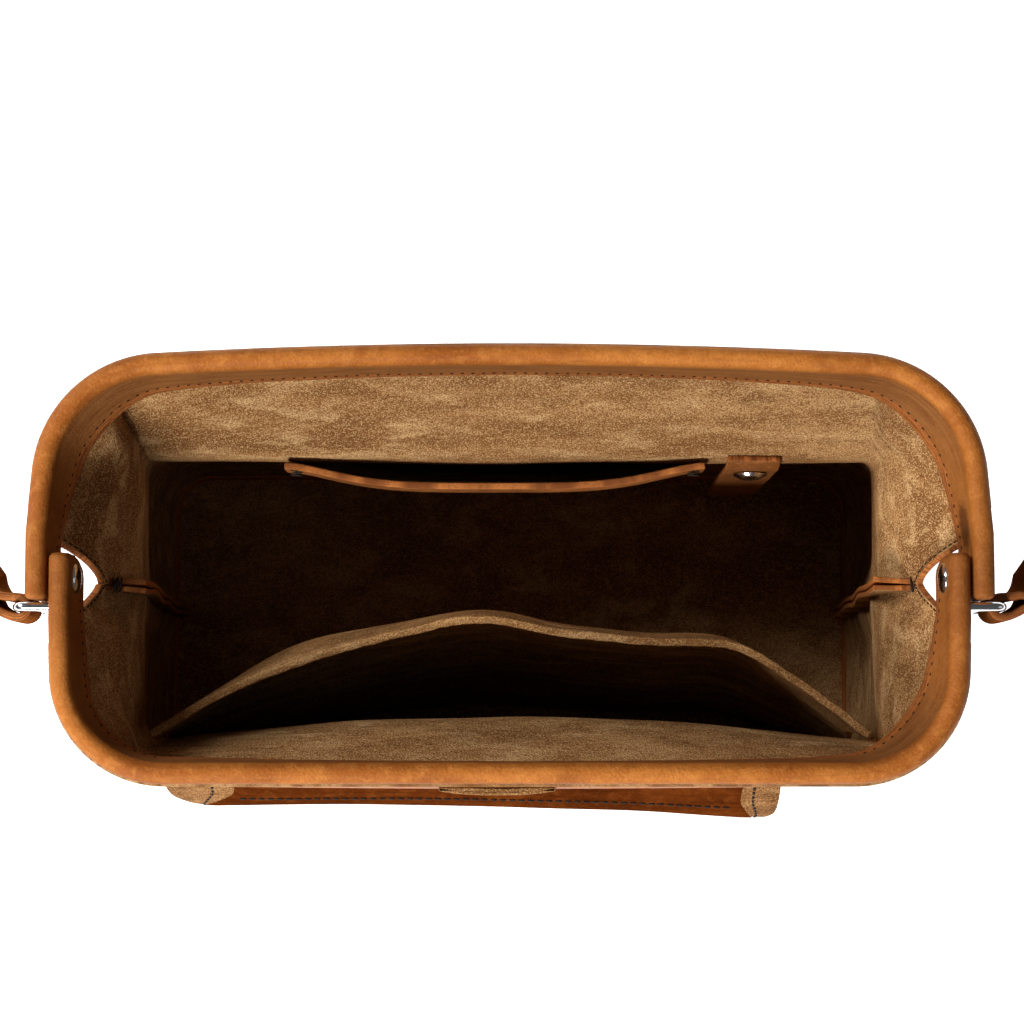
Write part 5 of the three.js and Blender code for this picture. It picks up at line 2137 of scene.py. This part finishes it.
@dataclass
class OuterPocket:
    """Pocket outside the front with its sloping flap."""

    left: float = -107.0
    right: float = 84.0
    thickness: float = 1.8
    corner: float = 9.0
    corner_steps: int = 8
    corner_trim: int = 5
    tightest: float = 0.6
    gap: float = 0.6
    spread_start: float = -70.0
    spread_depth: float = 4.6
    columns: int = 70
    rows: int = 56
    side_steps: int = 5
    seam_column: int = 14
    seam_row: int = 4
    flap_seam_row: int = 2
    end_seam_column: int = 8
    end_seam_rows: tuple[int, int] = (6, -4)
    swell: Rumple = Rumple(height=0.45, size=(34.0, 34.0, 26.0), seed=9.0)
    above_foot: Fade = Fade(start=18.0, span=14.0)
    flap_wave: Rumple = Rumple(height=0.4, size=(30.0, 30.0, 30.0), seed=6.0)
    flap_steps: int = 6
    flap_thickness: float = 2.0
    flap_columns: int = 110
    end_columns: int = 12
    end_sink: float = 0.5
    stitch_z: float = 159.5
    root_z: float = 177.0
    flap_reach: float = 11.5
    # Height, distance from the hinge line and share of the spread at each level
    levels: tuple[tuple[float, float, float], ...] = (
        (18, 59.4, 0),
        (22, 61.6, 0.1),
        (32, 63.4, 0.4),
        (55, 64.4, 0.8),
        (80, 64.9, 1),
        (105, 65, 1),
        (130, 64.8, 1),
        (146, 64.5, 1),
    )
    # Distance out, height, cut of the left and right end and length of each pale end, by row
    flap_rows: tuple[tuple[float, ...], ...] = (
        (1.7, 177, 1, 1, 20, 11),
        (4.4, 170.5, 0, 0, 21.5, 12),
        (7.6, 163.5, 1, 0, 19.5, 12),
        (10, 156.5, 4.5, 0.5, 10.5, 9),
        (11.2, 149, 8, 2.5, 2.5, 5),
        (11.5, 140, 10, 4.5, 1.5, 3),
    )

    def spread(self, x: np.ndarray) -> np.ndarray:
        """How much further out the pocket and flap stand towards the right end."""
        share = np.maximum(0, x - self.spread_start) / (self.right - self.spread_start)
        return self.spread_depth * share**2

    def pocket_grid(self) -> np.ndarray:
        """Outer surface of the face and side gussets."""
        table = LevelCurve([row[0] for row in self.levels], [row[1:] for row in self.levels])
        wall = WALLS[Half.FRONT]
        trim = self.corner_trim
        rows = []
        for z in np.linspace(self.levels[0][0], self.levels[-1][0], self.rows):
            depth, share = table.at(z)
            x = np.linspace(self.right, self.left, self.columns)
            face = np.stack([x, depth + share * self.spread(x)], axis=1)
            roots = [np.array([end, wall.reach(end, z) + self.gap]) for end in (self.right, self.left)]
            shallow = min(face[0, 1] - roots[0][1], face[-1, 1] - roots[1][1])
            radius = min(self.corner, self.tightest * shallow)
            first = rounded_corner(roots[0], face[0], face[trim], radius, self.corner_steps)
            last = rounded_corner(face[-1 - trim], face[-1], roots[1], radius, self.corner_steps)
            right = np.linspace(roots[0], first[0], self.side_steps)[:-1]
            left = np.linspace(last[-1], roots[1], self.side_steps)[1:]
            line = np.vstack([right, first, face[trim:-trim], last, left])
            rows.append(level_row(line[:, 0], -line[:, 1], z))
        points = facing(np.array(rows), (0, -1, 0))
        swell = self.swell.at(points) * self.above_foot.at(points[:, :, 2])
        return points + grid_normals(points) * swell[:, :, None]

    def flap_grid(self) -> np.ndarray:
        """Middle surface of the flap."""
        table = smooth_path(np.array(self.flap_rows), self.flap_steps)
        ends = (0, self.end_columns, self.flap_columns - self.end_columns, self.flap_columns)
        rows = []
        for out, z, left_cut, right_cut, left_end, right_end in table:
            left, right = self.left + left_cut, self.right - right_cut
            bounds = (left, left + left_end, right - right_end, right)
            x = np.interp(np.arange(self.flap_columns + 1), ends, bounds)
            reach = out + self.spread(x) * out / self.flap_reach
            root = np.array([WALLS[Half.FRONT].reach(place, self.root_z) for place in x])
            rows.append(level_row(x, -(root + reach), z))
        points = facing(np.array(rows), (0, -1, 0))
        wave = self.flap_wave.at(points)
        wave[:, : self.end_columns] -= self.end_sink
        wave[:, -self.end_columns :] -= self.end_sink
        return points + grid_normals(points) * wave[:, :, None]

    def build(self) -> None:
        """Model the pocket and its flap and dress them."""
        pocket = sheet("pocket_outer_leather", self.pocket_grid())
        thicken(pocket, self.thickness)
        dress(pocket, POCKET_LEATHER, POCKET_SUEDE, PALE_EDGE)
        stand_for(pocket, "dark_leather", "pocket_outer")
        flap = sheet("flap_leather", self.flap_grid())
        for number, face in enumerate(flap.data.polygons):
            column = number % self.flap_columns
            if min(column, self.flap_columns - 1 - column) < self.end_columns:
                face.material_index = Layer.FRAYED.value
        thicken(flap, self.flap_thickness, offset=0.0)
        dress(flap, POCKET_LEATHER, POCKET_SUEDE, PALE_EDGE, FLAP_END)
        stand_for(flap, "dark_leather", "pocket_flap")

    def seams(self) -> list[Seam]:
        """Stitch rows along the flap's edge, across its root, and round the pocket."""
        flap = self.flap_grid()
        out = grid_normals(flap)
        face = flap + out * self.flap_thickness / 2
        row = int(np.argmin(np.abs(flap[:, 0, 2] - self.stitch_z)))
        strip = slice(self.end_columns + 2, -self.end_columns - 2)
        root = self.flap_seam_row
        rows = [
            Seam(face[row, strip], out[row, strip], FLAP_STITCH),
            Seam(face[root, strip], out[root, strip], POCKET_STITCH),
        ]
        span = slice(*self.end_seam_rows)
        for column in (self.end_seam_column, -1 - self.end_seam_column):
            rows.append(Seam(face[span, column], out[span, column], FLAP_END_STITCH))
        pocket = self.pocket_grid()
        normals = grid_normals(pocket)
        side, foot = self.seam_column, self.seam_row
        for column in (side, -1 - side):
            rows.append(Seam(pocket[foot - 1 :, column], normals[foot - 1 :, column], POCKET_STITCH))
        rows.append(Seam(pocket[foot, side:-side], normals[foot, side:-side], POCKET_STITCH))
        return rows


@dataclass
class FrontTab:
    """Short layered tab under the middle of the front rim."""

    left: float = -21.0
    right: float = 13.5
    y: float = -64.0
    layer: float = 0.95
    layer_shifts: tuple[float, float] = (-0.55, 0.5)
    bend: float = 0.8
    top: float = 202.0
    bottom: float = 172.0
    corner: float = 9.0
    foot_share: float = 0.45
    columns: int = 40
    rows: int = 40
    seam_inset: int = 4

    def half_width(self, z: float) -> float:
        """Share of the full width at a height, rounded at the lower corners."""
        rise = min(1.0, (z - self.bottom) / self.corner)
        return self.foot_share + (1 - self.foot_share) * math.sqrt(1 - (1 - rise) ** 2)

    def grid(self, shift: float) -> np.ndarray:
        """Middle surface of one layer.

        Args:
            shift: How far it is moved out.

        Returns:
            Its places by row and column.
        """
        middle, half = (self.left + self.right) / 2, (self.right - self.left) / 2
        across = np.linspace(-1, 1, self.columns)
        rows = []
        for z in np.linspace(self.bottom, self.top, self.rows):
            x = middle + across * half * self.half_width(z)
            y = self.y + self.bend * across**2 - shift * (1 - across**4)
            rows.append(level_row(x, y, z))
        return facing(np.array(rows), (0, -1, 0))

    def build(self) -> None:
        """Model both layers and dress them."""
        layers = []
        for number, shift in enumerate(self.layer_shifts):
            piece = sheet(f"tab_layer_{number}", self.grid(shift))
            thicken(piece, self.layer, offset=0.0, rounding=0.25)
            dress(piece, RIM_LEATHER, POCKET_SUEDE, RAW_RIM)
            layers.append(piece)
        piece = join(layers, "front_tab_leather")
        stand_for(piece, "tan_leather", "front_tab")

    def seams(self) -> list[Seam]:
        """Stitch row round the lower edge of the tab."""
        points = self.grid(self.layer_shifts[1] + self.layer / 2)
        normals = grid_normals(points)
        inset = self.seam_inset
        return [Seam(points[inset, inset:-inset], normals[inset, inset:-inset], TAB_STITCH)]


# Studio


@dataclass(frozen=True)
class Lamp:
    """Soft box: its place, what it faces, its size in metres and its power."""

    name: str
    place: Point
    target: Point
    size: float
    power: float
    colour: Colour = (1.0, 1.0, 1.0)

    def build(self) -> None:
        """Hang the lamp."""
        clear_selection()
        aim = Vector(self.target) - Vector(self.place)
        turn = aim.to_track_quat("-Z", "Y").to_euler()
        bpy.ops.object.light_add(type="AREA", location=self.place, rotation=turn)
        lamp = bpy.context.object
        lamp.name = self.name
        lamp.data.shape = "DISK"
        lamp.data.size = self.size
        lamp.data.energy = self.power
        lamp.data.color = self.colour


@dataclass
class Studio:
    """Pale floor, soft light and the camera over the bag."""

    lens: float = 85.0
    sensor: float = 36.0
    camera_place: Point = (0.0007, -0.050, 0.925)
    camera_tilt: float = 5.5
    floor_size: float = 40.0
    floor_tone: Colour = (0.86, 0.86, 0.85)
    floor_roughness: float = 0.9
    floor_glow: float = 0.9
    surround: float = 0.07
    lamps: tuple[Lamp, ...] = (
        Lamp("key_front_left", (-0.56, -1.12, 1.17), (0.0, 0.0, 0.18), 0.5, 32.0),
        Lamp("key_back_left", (-1.12, 0.56, 1.17), (0.0, 0.0, 0.18), 0.6, 21.0),
        Lamp("fill_right", (1.3, -0.35, 1.0), (0.0, 0.0, 0.18), 0.9, 1.5),
    )

    def build(self) -> None:
        """Set up the floor, lamps, surround and camera."""
        clear_selection()
        bpy.ops.mesh.primitive_plane_add(size=self.floor_size, location=(0, 0, 0))
        floor = rename(bpy.context.object, "floor")
        pale = Shader("pale_floor").finish({
            "Base Color": self.floor_tone,
            "Roughness": self.floor_roughness,
            "Emission Color": (1.0, 1.0, 1.0),
            "Emission Strength": self.floor_glow,
        })
        floor.data.materials.append(pale)
        floor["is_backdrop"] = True
        for lamp in self.lamps:
            lamp.build()
        scene = bpy.context.scene
        scene.world = scene.world or bpy.data.worlds.new("surround")
        scene.world.use_nodes = True
        surround = scene.world.node_tree.nodes["Background"]
        surround.inputs["Color"].default_value = (1.0, 1.0, 1.0, 1.0)
        surround.inputs["Strength"].default_value = self.surround
        scene.view_settings.view_transform = "Standard"
        clear_selection()
        tilt = (math.radians(self.camera_tilt), 0.0, 0.0)
        bpy.ops.object.camera_add(location=self.camera_place, rotation=tilt)
        camera = bpy.context.object
        camera.name = "camera"
        camera.data.lens = self.lens
        camera.data.sensor_width = self.sensor
        scene.camera = camera


# Places along X and height of the bar tacks on the seam allowances
TACKS_X = (127.0, -123.0)
TACKS_Z = ALLOWANCE_TOP_Z + 3.4


def seam_tacks() -> list[Seam]:
    """Bar tacks across the top of both seam allowances, at the foot of each notch."""
    tacks = []
    for x in TACKS_X:
        tacks += bar_tack((x, 0.0, TACKS_Z), (0, 1, 0), (0, 0, 1), count=4, length=5.0)
    return tacks


def write_sizes() -> None:
    """Put the box of the solids and the box of the dressed bag into JSON text, which is not kept."""
    boxes = {"cad": CAD_BOX, "visual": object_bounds()}
    json.dumps({name: [list(corner) for corner in box] for name, box in boxes.items()})


def main() -> None:
    """Build every piece of the bag in order, then sew it and set up the studio."""
    logging.basicConfig(level=logging.INFO, format="%(name)s %(message)s")
    Studio().build()
    BaseTray().build()
    bodies = [
        BodyHalf(Half.BACK, "body_back_leather", "body_back"),
        BodyHalf(Half.FRONT, "body_front_leather", "body_front", gusset_dip=-1.4),
    ]
    rims = [
        RimHalf(Half.BACK, "rim_back_leather", "rim_back"),
        RimHalf(Half.FRONT, "rim_front_leather", "rim_front"),
    ]
    for part in (*bodies, *rims):
        part.build()
    for hand in Hand:
        HingeRivet(hand).build()
        StrapLoop(hand).build()
    strap = ShoulderStrap()
    back_pocket = InnerBackPocket()
    outer_pocket = OuterPocket()
    tab = FrontTab()
    for part in (strap, back_pocket, outer_pocket, tab, InnerFrontPocket(), KeyStrip()):
        part.build()
    for name, slot, seams in (
        ("body_stitches", "body_leather", bodies[0].seams() + bodies[1].seams() + seam_tacks()),
        ("rim_stitches", "rim_leather", rims[0].seams() + rims[1].seams()),
        ("strap_stitches", "strap_leather", strap.seams()),
        ("pocket_stitches", "dark_leather", outer_pocket.seams() + tab.seams()),
        ("inner_stitches", "suede", back_pocket.seams()),
    ):
        stand_for(sew(name, seams), slot)
    write_sizes()


if __name__ == "__main__":
    main()
